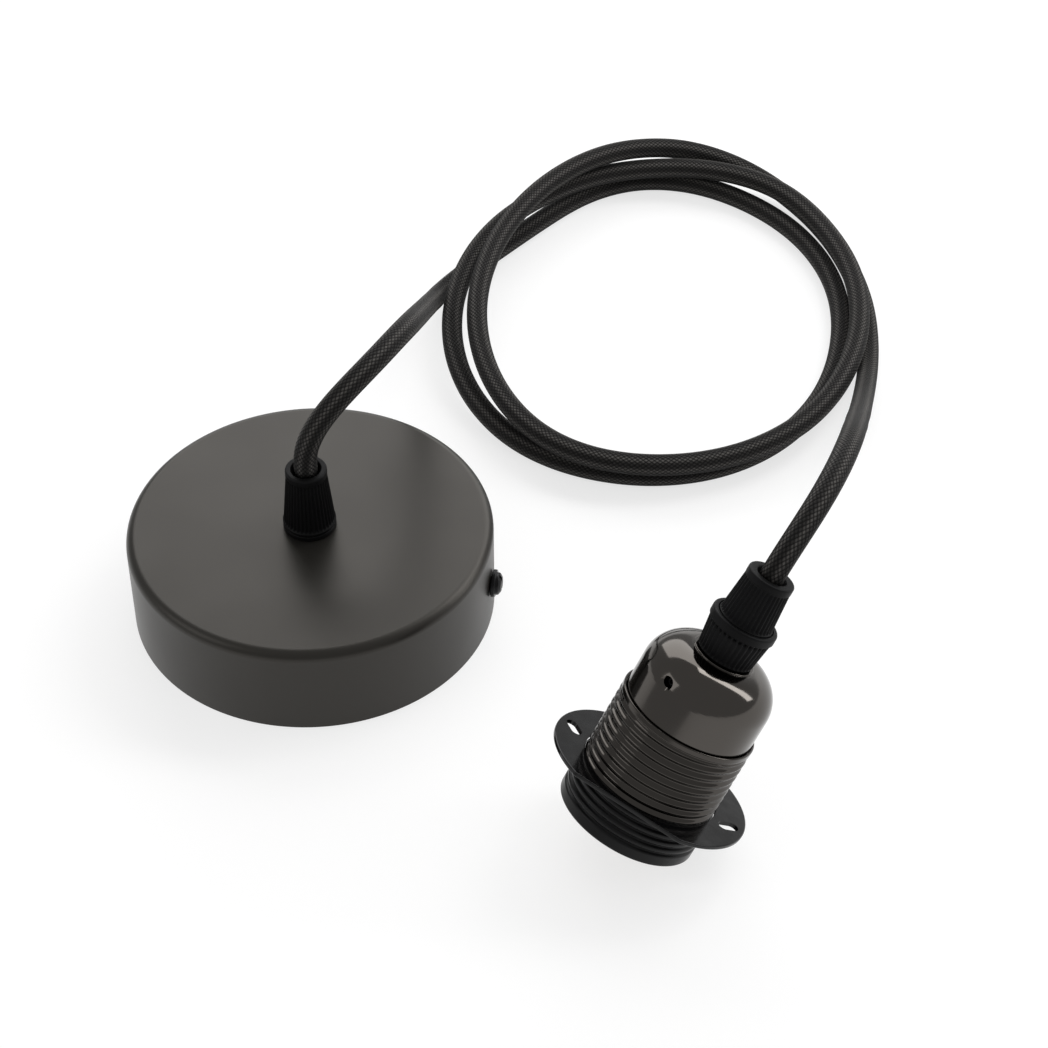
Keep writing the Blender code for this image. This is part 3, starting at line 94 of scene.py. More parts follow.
# Ceiling cup
CUP_RADIUS = 0.054
CUP_HEIGHT = 0.0295
CUP_WALL = 0.001
CUP_EDGE_RADIUS = 0.0028
SIDE_SCREW_HEIGHT = 0.014
SCREW_SHANK_RADIUS = 0.00195
SCREW_SHANK_LENGTH = 0.0068
SCREW_FLANGE_RADIUS = 0.00415
SCREW_FLANGE_HEIGHT = 0.0012
SCREW_DOME = [(0.00345, 0.0012, CRISP), (0.0033, 0.0021, FULL), (0.0021, 0.0029, 0.0012), (0, 0.0029, 0)]
DOME_SLOT_LENGTH = 0.0086
DOME_SLOT_WIDTH = 0.0009
DOME_SLOT_FLOOR = 0.0021
SHANK_SLOT_LENGTH = 0.005
SHANK_SLOT_WIDTH = 0.0007
SHANK_SLOT_DEPTH = 0.0008

# Grips on the flex
STEM_RADIUS = 0.0049
FLEX_DIAMETER = 0.0068
FLEX_BORE = FLEX_DIAMETER / 2 + GAP
TAIL_BELOW_MOUTH = 0.001
CUP_GRIP_BASE = CUP_HEIGHT + GAP
CUP_GRIP_FLANGE = 0.0014
CUP_NUT_HEIGHT = 0.0200
CUP_NUT_BASE_RADIUS = 0.0078
CUP_NUT_TOP_RADIUS = 0.0060
CUP_NUT_BASE = CUP_GRIP_BASE + CUP_GRIP_FLANGE + GAP
CUP_NUT_TOP = CUP_NUT_BASE + CUP_NUT_HEIGHT
CUP_GRIP_SPIGOT = 0.011
CUP_STEM_LENGTH = 0.0095
NUT_FOOT = 0.0007
NUT_SHOULDER = 0.0002
NUT_RIM = 0.0022
NUT_BEAD = 0.0001
NUT_MOUTH_RADIUS = 0.00445
NUT_MOUTH_ROUNDING = 0.0004
NUT_MOUTH_DEPTH = 0.002
FLUTE_RUN_OUT = 0.0004

# Lamp holder, heights above its lower rim
LOWER_RING_HEIGHT = 0.0131
LOWER_RING_RADIUS = 0.0202
LOWER_RING_BORE = 0.0166
LOWER_RING_BAND = 0.004
LOWER_RING_SPIGOT = 0.004
EAR_BASE = LOWER_RING_HEIGHT + GAP
EAR_THICKNESS = 0.0012
EAR_TOP = EAR_BASE + EAR_THICKNESS
EAR_CENTRE = 0.0046
EAR_RADIUS = 0.0246
EAR_FLAT_FROM_AXIS = 0.0216
EAR_SLOT_FROM_AXIS = 0.0246
EAR_SLOT_LENGTH = 0.0064
EAR_SLOT_WIDTH = 0.0034
EAR_SLOT_TILT = radians(44)
SLEEVE_TOP = 0.037
SLEEVE_BORE = 0.0179
THREAD_RADIUS = 0.0196
SLEEVE_LIP = 0.0016
CAP_RADIUS = 0.0187
CAP_TOP = 0.0562
CAP_WALL = 0.0008
CAP_SHOULDER_RADIUS = 0.0105
CAP_SHOULDER_ROUNDING = 0.0099
THREAD_RUN_OUT = 0.0012
NECK_START = 0.0009
NECK_FULL = 0.0005
NECK_END = 0.0002
CAP_COLLAR_RADIUS = 0.0088
CAP_COLLAR_HEIGHT = 0.0004
CAP_INSERTION = 0.001
CAP_HOLE_HEIGHT = 0.0486
CAP_HOLE_HEADING = radians(-116.6)
CAP_HOLE_RADIUS = 0.0015
CAP_HOLE_FLARE = 0.0019
CAP_HOLE_DEPTH = 0.0025
CAP_DRILL_REACH = 0.001
CAP_COLLAR_SINK = 0.00001
GRUB_RADIUS = 0.0012
GRUB_FACE_DEPTH = 0.0018
GRUB_END_DEPTH = 0.0046
GRUB_SOCKET_RADIUS = 0.0007
GRUB_SOCKET_DEPTH = 0.001
GRIP_BASE = CAP_TOP + CAP_COLLAR_HEIGHT + GAP
GRIP_HEIGHT = 0.0117
GRIP_TOP = GRIP_BASE + GRIP_HEIGHT
GRIP_BASE_RADIUS = 0.0080
GRIP_TOP_RADIUS = 0.0095
GRIP_BAND = 0.0026
GRIP_RECESS = 0.001
GRIP_SPIGOT = 0.009
GRIP_STEM_LENGTH = 0.0085
GRIP_EDGE = 0.0007
GRIP_NECK = 0.0004
GRIP_POCKET_DEPTH = 0.0005
GRIP_POCKET_BOTTOM = 0.0013
GRIP_POCKET_FULL = 0.0009
GRIP_POCKET_TOP = 0.00005
GRIP_FLUTE_FOOT = 0.0003
GRIP_FLUTE_HEAD = 0.0002
GRIP_FLUTE_RUN_OUT = 0.0003
HOLDER_NUT_HEIGHT = 0.0149
HOLDER_NUT_BASE_RADIUS = 0.0078
HOLDER_NUT_TOP_RADIUS = 0.0066
HOLDER_NUT_BASE = GRIP_TOP - GRIP_RECESS + GAP
HOLDER_NUT_TOP = HOLDER_NUT_BASE + HOLDER_NUT_HEIGHT
INSERT_TOP = 0.034
INSERT_BOTTOM = 0.005
INSERT_RADIUS = 0.0162
INSERT_FLANGE = 0.010
INSERT_CEILING = 0.028
SHELL_RADIUS = 0.0140
SHELL_WALL = 0.0004
SHELL_BOTTOM = 0.007
SHELL_PITCH = 0.0036
SHELL_TURNS = 5
SHELL_THREAD_DEPTH = 0.0006
SHELL_RUN_OUT = 0.001
INSERT_ROUNDING = 0.0004
CONTACT_RADIUS = 0.0045
CONTACT_RIM = 0.0008
CONTACT_HEIGHT = 0.0022
CONTACT_STEM_RADIUS = 0.0014

# Route of the free flex, as offsets from the cup's centre on the floor
FLEX_STRAIGHT_END = 0.002
FLEX_ROUTE = [
    # out of the cup's grip, over in an arch and down to the floor
    (0.0014, -0.0004, 0.0616), (0.0067, 0.0012, 0.0711), (0.0139, 0.0058, 0.0778),
    (0.0209, 0.0134, 0.0812), (0.0261, 0.0230, 0.0810), (0.0290, 0.0338, 0.0768),
    (0.0301, 0.0481, 0.0677), (0.0306, 0.0710, 0.0515), (0.0309, 0.0937, 0.0352),
    (0.0313, 0.1100, 0.0237), (0.0318, 0.1216, 0.0158), (0.0326, 0.1300, 0.0105),
    (0.0339, 0.1370, 0.0070), (0.0369, 0.1446, 0.0047), (0.0420, 0.1527, 0.0037),
    (0.0525, 0.1653, 0.0036),
    # first turn, on the floor
    (0.0700, 0.1850, 0.0036), (0.0850, 0.1990, 0.0036), (0.1030, 0.2070, 0.0036),
    (0.1210, 0.2060, 0.0036), (0.1400, 0.1960, 0.0036), (0.1580, 0.1760, 0.0036),
    (0.1690, 0.1440, 0.0036), (0.1680, 0.1150, 0.0036), (0.1580, 0.0850, 0.0036),
    (0.1450, 0.0675, 0.0036), (0.1270, 0.0550, 0.0036), (0.1050, 0.0500, 0.0036),
    (0.0840, 0.0530, 0.0036),
    # second turn, up over the end of the arch and then on the first turn
    (0.0652, 0.0629, 0.0036), (0.0533, 0.0750, 0.0043), (0.0448, 0.0895, 0.0061),
    (0.0399, 0.1066, 0.0085), (0.0392, 0.1234, 0.0107), (0.0420, 0.1401, 0.0122),
    (0.0477, 0.1561, 0.0130), (0.0561, 0.1708, 0.0130), (0.0669, 0.1839, 0.0122),
    (0.0765, 0.1926, 0.0114), (0.0880, 0.2000, 0.0107), (0.1080, 0.2050, 0.0107),
    (0.1290, 0.2040, 0.0107), (0.1500, 0.1940, 0.0107), (0.1660, 0.1710, 0.0107),
    (0.1740, 0.1440, 0.0107), (0.1740, 0.1170, 0.0107), (0.1670, 0.0920, 0.0107),
    (0.1530, 0.0690, 0.0107), (0.1320, 0.0530, 0.0107), (0.1080, 0.0470, 0.0107),
    (0.0850, 0.0505, 0.0107), (0.0710, 0.0590, 0.0107),
    # last half turn, over the second in a long low hump and down again
    (0.0615, 0.0694, 0.0113), (0.0546, 0.0815, 0.0124), (0.0501, 0.0947, 0.0136),
    (0.0478, 0.1084, 0.0148), (0.0475, 0.1223, 0.0159), (0.0492, 0.1362, 0.0168),
    (0.0524, 0.1488, 0.0176), (0.0574, 0.1618, 0.0182), (0.0640, 0.1742, 0.0187),
    (0.0720, 0.1856, 0.0187), (0.0816, 0.1958, 0.0184), (0.0927, 0.2042, 0.0175),
    (0.1052, 0.2101, 0.0158), (0.1188, 0.2127, 0.0135), (0.1323, 0.2113, 0.0105),
    (0.1448, 0.2060, 0.0074), (0.1555, 0.1969, 0.0050), (0.1640, 0.1851, 0.0038),
    (0.1750, 0.1550, 0.0036),
    # up to the holder, and down into its grip
    (0.1773, 0.1413, 0.0036), (0.1780, 0.1263, 0.0036), (0.1772, 0.1123, 0.0041),
    (0.1754, 0.0986, 0.0061), (0.1731, 0.0855, 0.0104), (0.1706, 0.0723, 0.0170),
    (0.1663, 0.0492, 0.0322), (0.1621, 0.0261, 0.0492), (0.1578, 0.0032, 0.0665),
    (0.1558, -0.0079, 0.0747), (0.1535, -0.0193, 0.0827), (0.1514, -0.0293, 0.0889),
    (0.1489, -0.0390, 0.0934), (0.1459, -0.0482, 0.0958), (0.1419, -0.0573, 0.0959),
    (0.1385, -0.0632, 0.0944), (0.1347, -0.0683, 0.0914),
]

FLEX_STEP = 0.0016

# Stage: the picture's viewing angle, lamps as (name, place, aim, size, watts, roll), and pale surroundings
CAMERA_AT = (0.0234, -0.5294, 0.5563)
CAMERA_TILT = radians(46.84)
CAMERA_LENS = 90.0
LAMPS = [
    ("soft box behind", (0.15, 1.00, 0.70), (-0.02, 0.03, 0), (1.5, 0.9), 10, 0),
    ("strip light at the back right", (0.87, 0.32, 0.69), (0.07, -0.06, 0.045), (1.3, 0.26), 6, radians(52)),
    ("soft box on the left", (-0.9, -0.25, 0.7), (0, 0, 0.03), (0.6, 0.6), 1.5, 0),
]
SKY_STRENGTH = 0.44
FLOOR_HALF_WIDTH = 8
BOARD_GREY = 0.35
BOARD_GLOW = 0.7


def linear(code):
    """Turns an sRGB hex colour into linear values by the sRGB curve."""
    srgb = np.array([int(code[i : i + 2], 16) for i in (1, 3, 5)]) / 255
    values = np.where(srgb <= 0.04045, srgb / 12.92, ((srgb + 0.055) / 1.055) ** 2.4)
    return tuple(float(value) for value in values)


def end_frame(place, *turns):
    """A 4 by 4 array: turns by (angle, axis) pairs, the last one first, and then a move to the place."""
    matrix = Matrix.Translation(place)
    for angle, axis in turns:
        matrix = matrix @ Matrix.Rotation(angle, 4, axis)
    return np.array(matrix)


CUP_FRAME = end_frame((*CUP_AT, 0), (CUP_TURN, "Z"))
HOLDER_PLACE = (*np.add(CUP_AT, HOLDER_FROM_CUP), LOWER_RING_RADIUS * sin(HOLDER_LEAN))
HOLDER_FRAME = end_frame(HOLDER_PLACE, (HOLDER_HEADING, "Z"), (HOLDER_LEAN, "Y"), (HOLDER_SPIN, "Z"))


def outline(corners, closed=True, arc_points=6, hold=0.0001):
    """Profile of (radius, height) points through corners of (radius, height, rounding).

    Each corner becomes an arc that touches both of its sides: its centre lies on the bisector,
    rounding / sin(half angle) from the corner, and the arc is a spherical blend of its two end
    radii. A point is added on each straight side, hold away from each arc, to keep it flat.
    """
    corners = np.array(corners, float)
    points, rounding = corners[:, :2], corners[:, 2:]
    before, after = np.roll(points, 1, 0) - points, np.roll(points, -1, 0) - points
    side = np.linalg.norm(after, axis=1, keepdims=True)
    before /= np.linalg.norm(before, axis=1, keepdims=True)
    after /= side
    half = np.arccos(np.clip((before * after).sum(1, keepdims=True), -0.9999, 0.9999)) / 2
    reach = rounding / np.tan(half)
    free = (side - reach - np.roll(reach, -1, 0)) / 3
    bisector = before + after
    bisector /= np.maximum(np.linalg.norm(bisector, axis=1, keepdims=True), 1e-9)
    centre = points + bisector * rounding / np.sin(half)
    start, end = points + before * reach, points + after * reach
    turn = (pi - 2 * half)[:, None]
    t = np.linspace(0, 1, arc_points)[None, :, None]
    first, last = (start - centre)[:, None], (end - centre)[:, None]
    arc = centre[:, None] + (np.sin((1 - t) * turn) * first + np.sin(t * turn) * last) / np.sin(turn)
    lead = (start + before * np.minimum(hold, np.roll(free, 1, 0)))[:, None]
    tail = (end + after * np.minimum(hold, free))[:, None]
    run = np.concatenate([lead, arc, tail], 1).reshape(-1, 2)
    if not closed:
        run = run[1:-1]
    keep = np.concatenate([[True], np.linalg.norm(np.diff(run, axis=0), axis=1) > 1e-8])
    return run[keep]


def finer(profile, step, closed=True):
    """The same profile with extra points, so that none of its sides is longer than step."""
    if closed:
        profile = np.concatenate([profile, profile[:1]])
    along = np.concatenate([[0], np.cumsum(np.linalg.norm(np.diff(profile, axis=0), axis=1))])
    wanted = np.union1d(along, np.arange(0, along[-1], step))
    points = np.stack([np.interp(wanted, along, profile[:, i]) for i in (0, 1)], 1)
    return points[:-1] if closed else points


def turned_grid(profile, sides, change=None):
    """Points of a profile carried round the axis: x = r cos a, y = r sin a, z = h.

    With a change, r is the profile's radius plus change(a, r, h).
    """
    angle = np.linspace(-pi, pi, sides, endpoint=False)[None]
    radius, height = profile[:, :1] + 0 * angle, profile[:, 1:] + 0 * angle
    if change is not None:
        radius = radius + change(angle, radius, height)
    return np.stack([radius * np.cos(angle), radius * np.sin(angle), height], -1)


def surface(name, grid, place, closed=True):
    """Mesh object on a grid of points, in the object's frame.

    Its columns run round and meet again. Its rows meet again too when the profile is
    closed, and otherwise start and end on the axis, where each end row is merged to one
    point. The UV map holds (turns round, metres along the rows).
    """
    rows, columns = grid.shape[:2]
    points = grid.reshape(-1, 3) @ place[:3, :3].T + place[:3, 3]
    spans = rows if closed else rows - 1
    i, j = np.meshgrid(np.arange(spans), np.arange(columns), indexing="ij")
    below, beside = (i + 1) % rows, (j + 1) % columns
    here, there = i * columns, below * columns
    quads = np.stack([here + j, here + beside, there + beside, there + j], -1)
    mesh = bpy.data.meshes.new(name)
    mesh.vertices.add(len(points))
    mesh.vertices.foreach_set("co", points.ravel())
    mesh.loops.add(quads.size)
    mesh.loops.foreach_set("vertex_index", quads.ravel())
    mesh.polygons.add(quads.size // 4)
    mesh.polygons.foreach_set("loop_start", np.arange(0, quads.size, 4))
    mesh.update(calc_edges=True)
    steps = np.linalg.norm(np.diff(grid, axis=0), axis=2).mean(1)
    along = np.concatenate([[0], np.cumsum(steps)])
    if closed:
        along = np.append(along, along[-1] + np.linalg.norm(grid[-1] - grid[0], axis=1).mean())
    turns, metres = np.stack([j, j + 1, j + 1, j], -1) / columns, along[np.stack([i, i, i + 1, i + 1], -1)]
    layer = mesh.uv_layers.new(name="round_and_along")
    layer.data.foreach_set("uv", np.stack([turns, metres], -1).ravel())
    shape = bmesh.new()
    shape.from_mesh(mesh)
    bmesh.ops.remove_doubles(shape, verts=shape.verts, dist=1e-7)
    bmesh.ops.recalc_face_normals(shape, faces=shape.faces)
    shape.to_mesh(mesh)
    shape.free()
    mesh.shade_smooth()
    obj = bpy.data.objects.new(name, mesh)
    bpy.context.scene.collection.objects.link(obj)
    return obj


def cut(obj, *cutters):
    """Takes the cutters out of the object's mesh for good, and marks the new edges sharp."""
    for cutter in cutters:
        modifier = obj.modifiers.new("cut", "BOOLEAN")
        modifier.solver = "EXACT"
        modifier.object = cutter
    bpy.context.view_layer.update()
    mesh = bpy.data.meshes.new_from_object(obj.evaluated_get(bpy.context.evaluated_depsgraph_get()))
    obj.modifiers.clear()
    obj.data = mesh
    mesh.shade_smooth()
    mesh.set_sharp_from_angle(angle=SHARP_ANGLE)
    for cutter in cutters:
        bpy.data.objects.remove(cutter)


def plug(edge, low, high, place):
    """A closed plug for cutting: the edge's (x, y) points carried between two heights, with flat ends."""
    heights = np.array([low, low, high, high])[:, None]
    share = np.array([0, 1, 1, 0])[:, None]
    grid = np.stack([share * edge[:, 0], share * edge[:, 1], heights + 0 * edge[:, 0]], -1)
    return surface("plug", grid, place, closed=False)


def long_hole(length, width, points=48):
    """Outline of a slot with round ends: a circle of half the width, its halves moved apart along X."""
    angle = np.linspace(0, 2 * pi, points, endpoint=False) + pi / points
    apart = (length - width) / 2 * np.sign(np.cos(angle))
    return np.stack([apart + width / 2 * np.cos(angle), width / 2 * np.sin(angle)], 1)


def ramp(value, low, high):
    """Smooth step: 0 below low, 1 above high, and 3 t squared - 2 t cubed between them."""
    t = np.clip((value - low) / (high - low), 0, 1)
    return t * t * (3 - 2 * t)


def flutes(count, depth, low, high, run_out):
    """Change of radius for grooves along the axis: -depth (1/2 - 1/2 cos(count a)) between two heights."""

    def change(angle, radius, height):
        groove = 0.5 - 0.5 * np.cos(count * angle)
        return -depth * groove * ramp(height, low, low + run_out) * (1 - ramp(height, high - run_out, high))

    return change


def outside(change, least):
    """The same change of radius, applied only to points further out than a least radius."""
    return lambda angle, radius, height: np.where(radius > least, change(angle, radius, height), 0)


# Materials


def add(tree, kind, links=None, values=None, **settings):
    """Adds a node with its settings, socket values and links, and returns it."""
    node = tree.nodes.new(kind)
    for key, value in settings.items():
        setattr(node, key, value)
    for key, value in (values or {}).items():
        node.inputs[key].default_value = value
    for key, source in (links or {}).items():
        tree.links.new(source, node.inputs[key])
    return node


def finish(name, colour, roughness, metallic=0.0, **sockets):
    """A new material with one Principled shader. Returns (material, tree, shader, object coordinates)."""
    material = bpy.data.materials.new(name)
    material.use_nodes = True
    tree = material.node_tree
    shader = tree.nodes["Principled BSDF"]
    values = {"Base Color": (*colour, 1.0), "Roughness": roughness, "Metallic": metallic, **sockets}
    for key, value in values.items():
        shader.inputs[key].default_value = value
    material.diffuse_color = (*colour, 1.0)
    coordinates = add(tree, "ShaderNodeTexCoord")
    return material, tree, shader, coordinates.outputs["Object"]


def drift(tree, place, size, low, high, shader, detail=2.0):
    """Roughness that drifts between two values, over patches about size metres across."""
    noise = add(tree, "ShaderNodeTexNoise", {"Vector": place}, {"Scale": 1 / size, "Detail": detail})
    limits = {"From Min": 0.3, "From Max": 0.7, "To Min": low, "To Max": high}
    spread = add(tree, "ShaderNodeMapRange", {"Value": noise.outputs["Fac"]}, limits)
    tree.links.new(spread.outputs["Result"], shader.inputs["Roughness"])


def mottle(tree, place, size, dark, light, shader, detail=3.0):
    """Base colour between a dark and a light one, in specks about size metres across."""
    noise = add(tree, "ShaderNodeTexNoise", {"Vector": place}, {"Scale": 1 / size, "Detail": detail})
    ends = {6: (*dark, 1.0), 7: (*light, 1.0)}
    mix = add(tree, "ShaderNodeMix", {"Factor": noise.outputs["Fac"]}, ends, data_type="RGBA")
    tree.links.new(mix.outputs[2], shader.inputs["Base Color"])


def roughen(tree, place, size, depth, shader, strength=1.0):
    """Relief of depth metres, in marks about size metres across."""
    noise = add(tree, "ShaderNodeTexNoise", {"Vector": place}, {"Scale": 1 / size, "Detail": 2.0})
    amounts = {"Distance": depth, "Strength": strength}
    bump = add(tree, "ShaderNodeBump", {"Height": noise.outputs["Fac"]}, amounts)
    tree.links.new(bump.outputs["Normal"], shader.inputs["Normal"])


def scaled(colour, factor):
    return tuple(min(channel * factor, 1.0) for channel in colour)


def moulded(name, colour, specular, roughness, patch, mark, depth):
    """A smooth coated or moulded face. Returns what finish does.

    Its roughness drifts between two values over patches of a size, and marks of another
    size are raised by a depth.
    """
    material, tree, shader, place = finish(name, colour, sum(roughness) / 2)
    shader.inputs["Specular IOR Level"].default_value = specular
    drift(tree, place, patch, *roughness, shader)
    roughen(tree, place, mark, depth, shader)
    return material, tree, shader, place


def satin_black_enamel(colours):
    """Satin black stoving enamel, sprayed on spun steel: a low even sheen with fine orange peel.

    The peel is 0.5 mm across, and the sheen drifts over 30 mm.
    """
    look = {"patch": 0.03, "mark": 0.0005, "depth": 0.00001}
    name = "satin black stoving enamel"
    material, tree, shader, place = moulded(name, colours.enamel, 0.42, (0.33, 0.39), **look)
    shader.inputs["Specular Tint"].default_value = (1.0, 0.94, 0.86, 1.0)
    dark, light = scaled(colours.enamel, 0.93), scaled(colours.enamel, 1.07)
    mottle(tree, place, 0.0009, dark, light, shader)
    return material


def black_nickel_plate(colours, painted_light_level):
    """Polished black-nickel plate on spun brass: a dark, slightly warm mirror.

    Faint spinning lines 0.3 mm apart run round the holder's axis, with a soft haze over 8 mm.
    Its last argument scales the plate's colour: up on the cap, as painted light, and down on the
    rolled thread, as painted shade; the finish is the same on both.
    """
    colour = scaled(colours.nickel, painted_light_level)
    material, tree, shader, place = finish("polished black nickel plate", colour, 0.1, 1.0)
    turn = Matrix(HOLDER_FRAME.tolist()).inverted()
    to_holder = {"Location": turn.to_translation(), "Rotation": turn.to_euler()}
    upright = add(tree, "ShaderNodeMapping", {"Vector": place}, to_holder)
    squeezed = {"Scale": (0.02, 0.02, 1.0)}
    lines = add(tree, "ShaderNodeMapping", {"Vector": upright.outputs["Vector"]}, squeezed)
    drift(tree, place, 0.008, 0.07, 0.13, shader)
    roughen(tree, lines.outputs["Vector"], 0.0003, 0.000002, shader, 0.5)
    return material


def moulded_nylon(colours):
    """Black polyamide 6, injection moulded: matt, with the mould's spark-eroded grain, 0.2 mm across."""
    look = {"patch": 0.006, "mark": 0.0002, "depth": 0.000015}
    return moulded("black moulded polyamide", colours.nylon, 0.12, (0.44, 0.56), **look)[0]


def moulded_ring_plastic(colours):
    """Black thermoset of the lower ring: satin, with flow marks 4 mm across and a fine 0.3 mm grain."""
    look = {"patch": 0.004, "mark": 0.0003, "depth": 0.000006}
    return moulded("black moulded thermoset", colours.ring, 0.2, (0.26, 0.36), **look)[0]


def polished_ring_plastic(colours):
    """The same thermoset from a polished mould, for the ear plate: it mirrors the sleeve that stands on it.

    Faint flow marks 4 and 5 mm across soften the mirror a little.
    """
    look = {"patch": 0.005, "mark": 0.004, "depth": 0.00001}
    return moulded("black thermoset with a polished face", colours.ring, 0.32, (0.09, 0.16), **look)[0]


def blackened_steel(colours):
    """Steel screws with a black zinc coat: dark, smooth and a little patchy over 1 mm."""
    material, tree, shader, place = finish("black zinc coated steel", colours.screw, 0.32, 0.8)
    drift(tree, place, 0.001, 0.26, 0.4, shader)
    return material


def zinc_plate(colours):
    """Bright zinc plate on pressed steel: grey with a cloudy bluish crystal pattern 2 mm across."""
    material, tree, shader, place = finish("bright zinc plate", colours.zinc, 0.33, 1.0)
    mottle(tree, place, 0.002, scaled(colours.zinc, 0.85), scaled(colours.zinc, 1.1), shader, 4.0)
    drift(tree, place, 0.002, 0.27, 0.42, shader, 4.0)
    return material


def turned_brass(colours):
    """Machined brass, lightly tarnished: warm yellow with browner patches 1.5 mm across."""
    material, tree, shader, place = finish("machined brass", colours.brass, 0.28, 1.0)
    mottle(tree, place, 0.0015, scaled(colours.brass, 0.75), colours.brass, shader)
    drift(tree, place, 0.0015, 0.22, 0.36, shader, 3.0)
    return material


def glazed_ceramic(colours):
    """White steatite, pressed and fired: a thin glaze over a faintly grained body, 0.6 mm across."""
    coat = {"Coat Weight": 0.4}
    material, tree, shader, place = finish("fired white steatite", colours.ceramic, 0.25, **coat)
    mottle(tree, place, 0.0006, scaled(colours.ceramic, 0.93), colours.ceramic, shader)
    roughen(tree, place, 0.0006, 0.00001, shader)
    return material


def natural_nylon(colours):
    """Natural polyamide block: milky, a little translucent, with a 0.3 mm moulded grain."""
    milky = {"Subsurface Weight": 0.15, "Subsurface Scale": 0.002}
    material, tree, shader, place = finish("natural moulded polyamide", colours.block, 0.42, **milky)
    roughen(tree, place, 0.0003, 0.00001, shader)
    return material


def core_insulation(name, colour):
    """Extruded PVC core insulation: soft gloss, with a slight waviness 3 mm long."""
    material, tree, shader, place = finish(f"{name} PVC insulation", colour, 0.38)
    roughen(tree, place, 0.003, 0.00004, shader)
    return material


def braided_textile(colours, sizes):
    """Black rayon braid over the flex: crossing bundles of dull yarn, each cell a small pillow.

    With p and q counted along the two bundle directions, sin(pi p) sin(pi q) tells by its sign
    which bundle is on top, and the pillow's height is |sin(pi p) sin(pi q)| to the power 0.8.
    Fine fibres 0.12 mm apart run over it. The base colour is painted light and shade: darker
    between the pillows and lighter on their crests, most of all on rows of painted highlight dots
    along the flex, where (1/2 + 1/2 cos(2 pi rows a))^2 meets a pillow's crest.
    """
    sheen = {"Sheen Weight": 0.03, "Sheen Roughness": 0.5, "Specular IOR Level": 0.12}
    material, tree, shader, place = finish("black braided rayon", colours.braid, 0.7, **sheen)
    layer = add(tree, "ShaderNodeUVMap", uv_map="round_and_along")
    split = add(tree, "ShaderNodeSeparateXYZ", {"Vector": layer.outputs["UV"]})

    yarn = add(tree, "ShaderNodeTexNoise", {"Vector": place}, {"Scale": 1 / 0.00012, "Detail": 2.0})
    made = {"round": split.outputs["X"], "along": split.outputs["Y"], "fibres": yarn.outputs["Fac"]}
    steps = [
        ("turns", "MULTIPLY", "round", sizes.braid_bundles * pi),
        ("length", "MULTIPLY", "along", pi / sizes.braid_pitch),
        ("sum", "ADD", "length", "turns"),
        ("difference", "SUBTRACT", "length", "turns"),
        ("one", "SINE", "sum"),
        ("other", "SINE", "difference"),
        ("product", "MULTIPLY", "one", "other"),
        ("size", "ABSOLUTE", "product"),
        ("pillow", "POWER", "size", 0.8),
        ("fuzz", "MULTIPLY", "fibres", 0.35),
        ("height", "ADD", "pillow", "fuzz"),
        # Rows of painted highlight dots round the flex, laid on the pillows
        ("angle", "MULTIPLY", "round", sizes.painted_highlight_rows * 2 * pi),
        ("circle", "COSINE", "angle"),
        ("half", "MULTIPLY", "circle", 0.5),
        ("wave", "ADD", "half", 0.5),
        ("row", "POWER", "wave", 2.0),
        ("share", "MULTIPLY", "row", 0.7),
        ("row_highlight", "ADD", "share", 0.2),
        ("light", "MULTIPLY", "pillow", "row_highlight"),
    ]
    for result, operation, *inputs in steps:
        links = {number: made[value] for number, value in enumerate(inputs) if isinstance(value, str)}
        values = {number: value for number, value in enumerate(inputs) if not isinstance(value, str)}
        made[result] = add(tree, "ShaderNodeMath", links, values, operation=operation).outputs[0]
    amounts = {"Distance": sizes.braid_relief, "Strength": 1.0}
    bump = add(tree, "ShaderNodeBump", {"Height": made["height"]}, amounts)
    tree.links.new(bump.outputs["Normal"], shader.inputs["Normal"])
    # Painted light and shade: the base colour runs from 0.2 times the braid colour between the pillows, as
    # painted shade, to 11 times on the pillow crests of the rows, as painted highlight
    ends = {6: (*scaled(colours.braid, 0.2), 1.0), 7: (*scaled(colours.braid, 11.0), 1.0)}
    mix = add(tree, "ShaderNodeMix", {"Factor": made["light"]}, ends, data_type="RGBA")
    tree.links.new(mix.outputs[2], shader.inputs["Base Color"])
    return material


# Settings


def count_of(name, description, default):
    return IntProperty(name=name, description=description, default=default)


def length_of(name, description, default):
    return FloatProperty(name=name, description=description, default=default, unit="LENGTH")


def colour_of(name, description, code):
    return FloatVectorProperty(name=name, description=description, subtype="COLOR", default=linear(code))


class FittingSizes(bpy.types.PropertyGroup):
    """Counts and sizes of the fine shapes."""

    cup_grip_flutes: count_of("Cup grip flutes", "Grooves round the cup's grip nut", 38)
    holder_grip_flutes: count_of("Holder grip flutes", "Grooves round the holder's grip and its nut", 36)
    flute_depth: length_of("Flute depth", "Depth of the grooves on the grips", 0.0004)
    thread_pitch: length_of("Thread pitch", "Rise of the sleeve's thread in one turn", 0.0025)
    thread_depth: length_of("Thread depth", "Depth of the sleeve's round thread", 0.0008)
    ring_ribs: count_of("Ring ribs", "Ribs round the lower ring", 4)
    ring_rib_depth: length_of("Ring rib depth", "Depth of the lower ring's ribs", 0.0007)
    braid_bundles: count_of("Braid bundles", "Yarn bundles round the flex each way", 18)
    # Count of rows of painted highlight dots round the flex, made in the base colour
    painted_highlight_rows: count_of("Braid rows", "Rows of glossier yarn round the flex", 6)
    braid_pitch: length_of("Braid pitch", "Length along the flex of one braid cell", 0.0017)
    braid_relief: length_of("Braid relief", "Height of the braid's bundles", 0.0003)


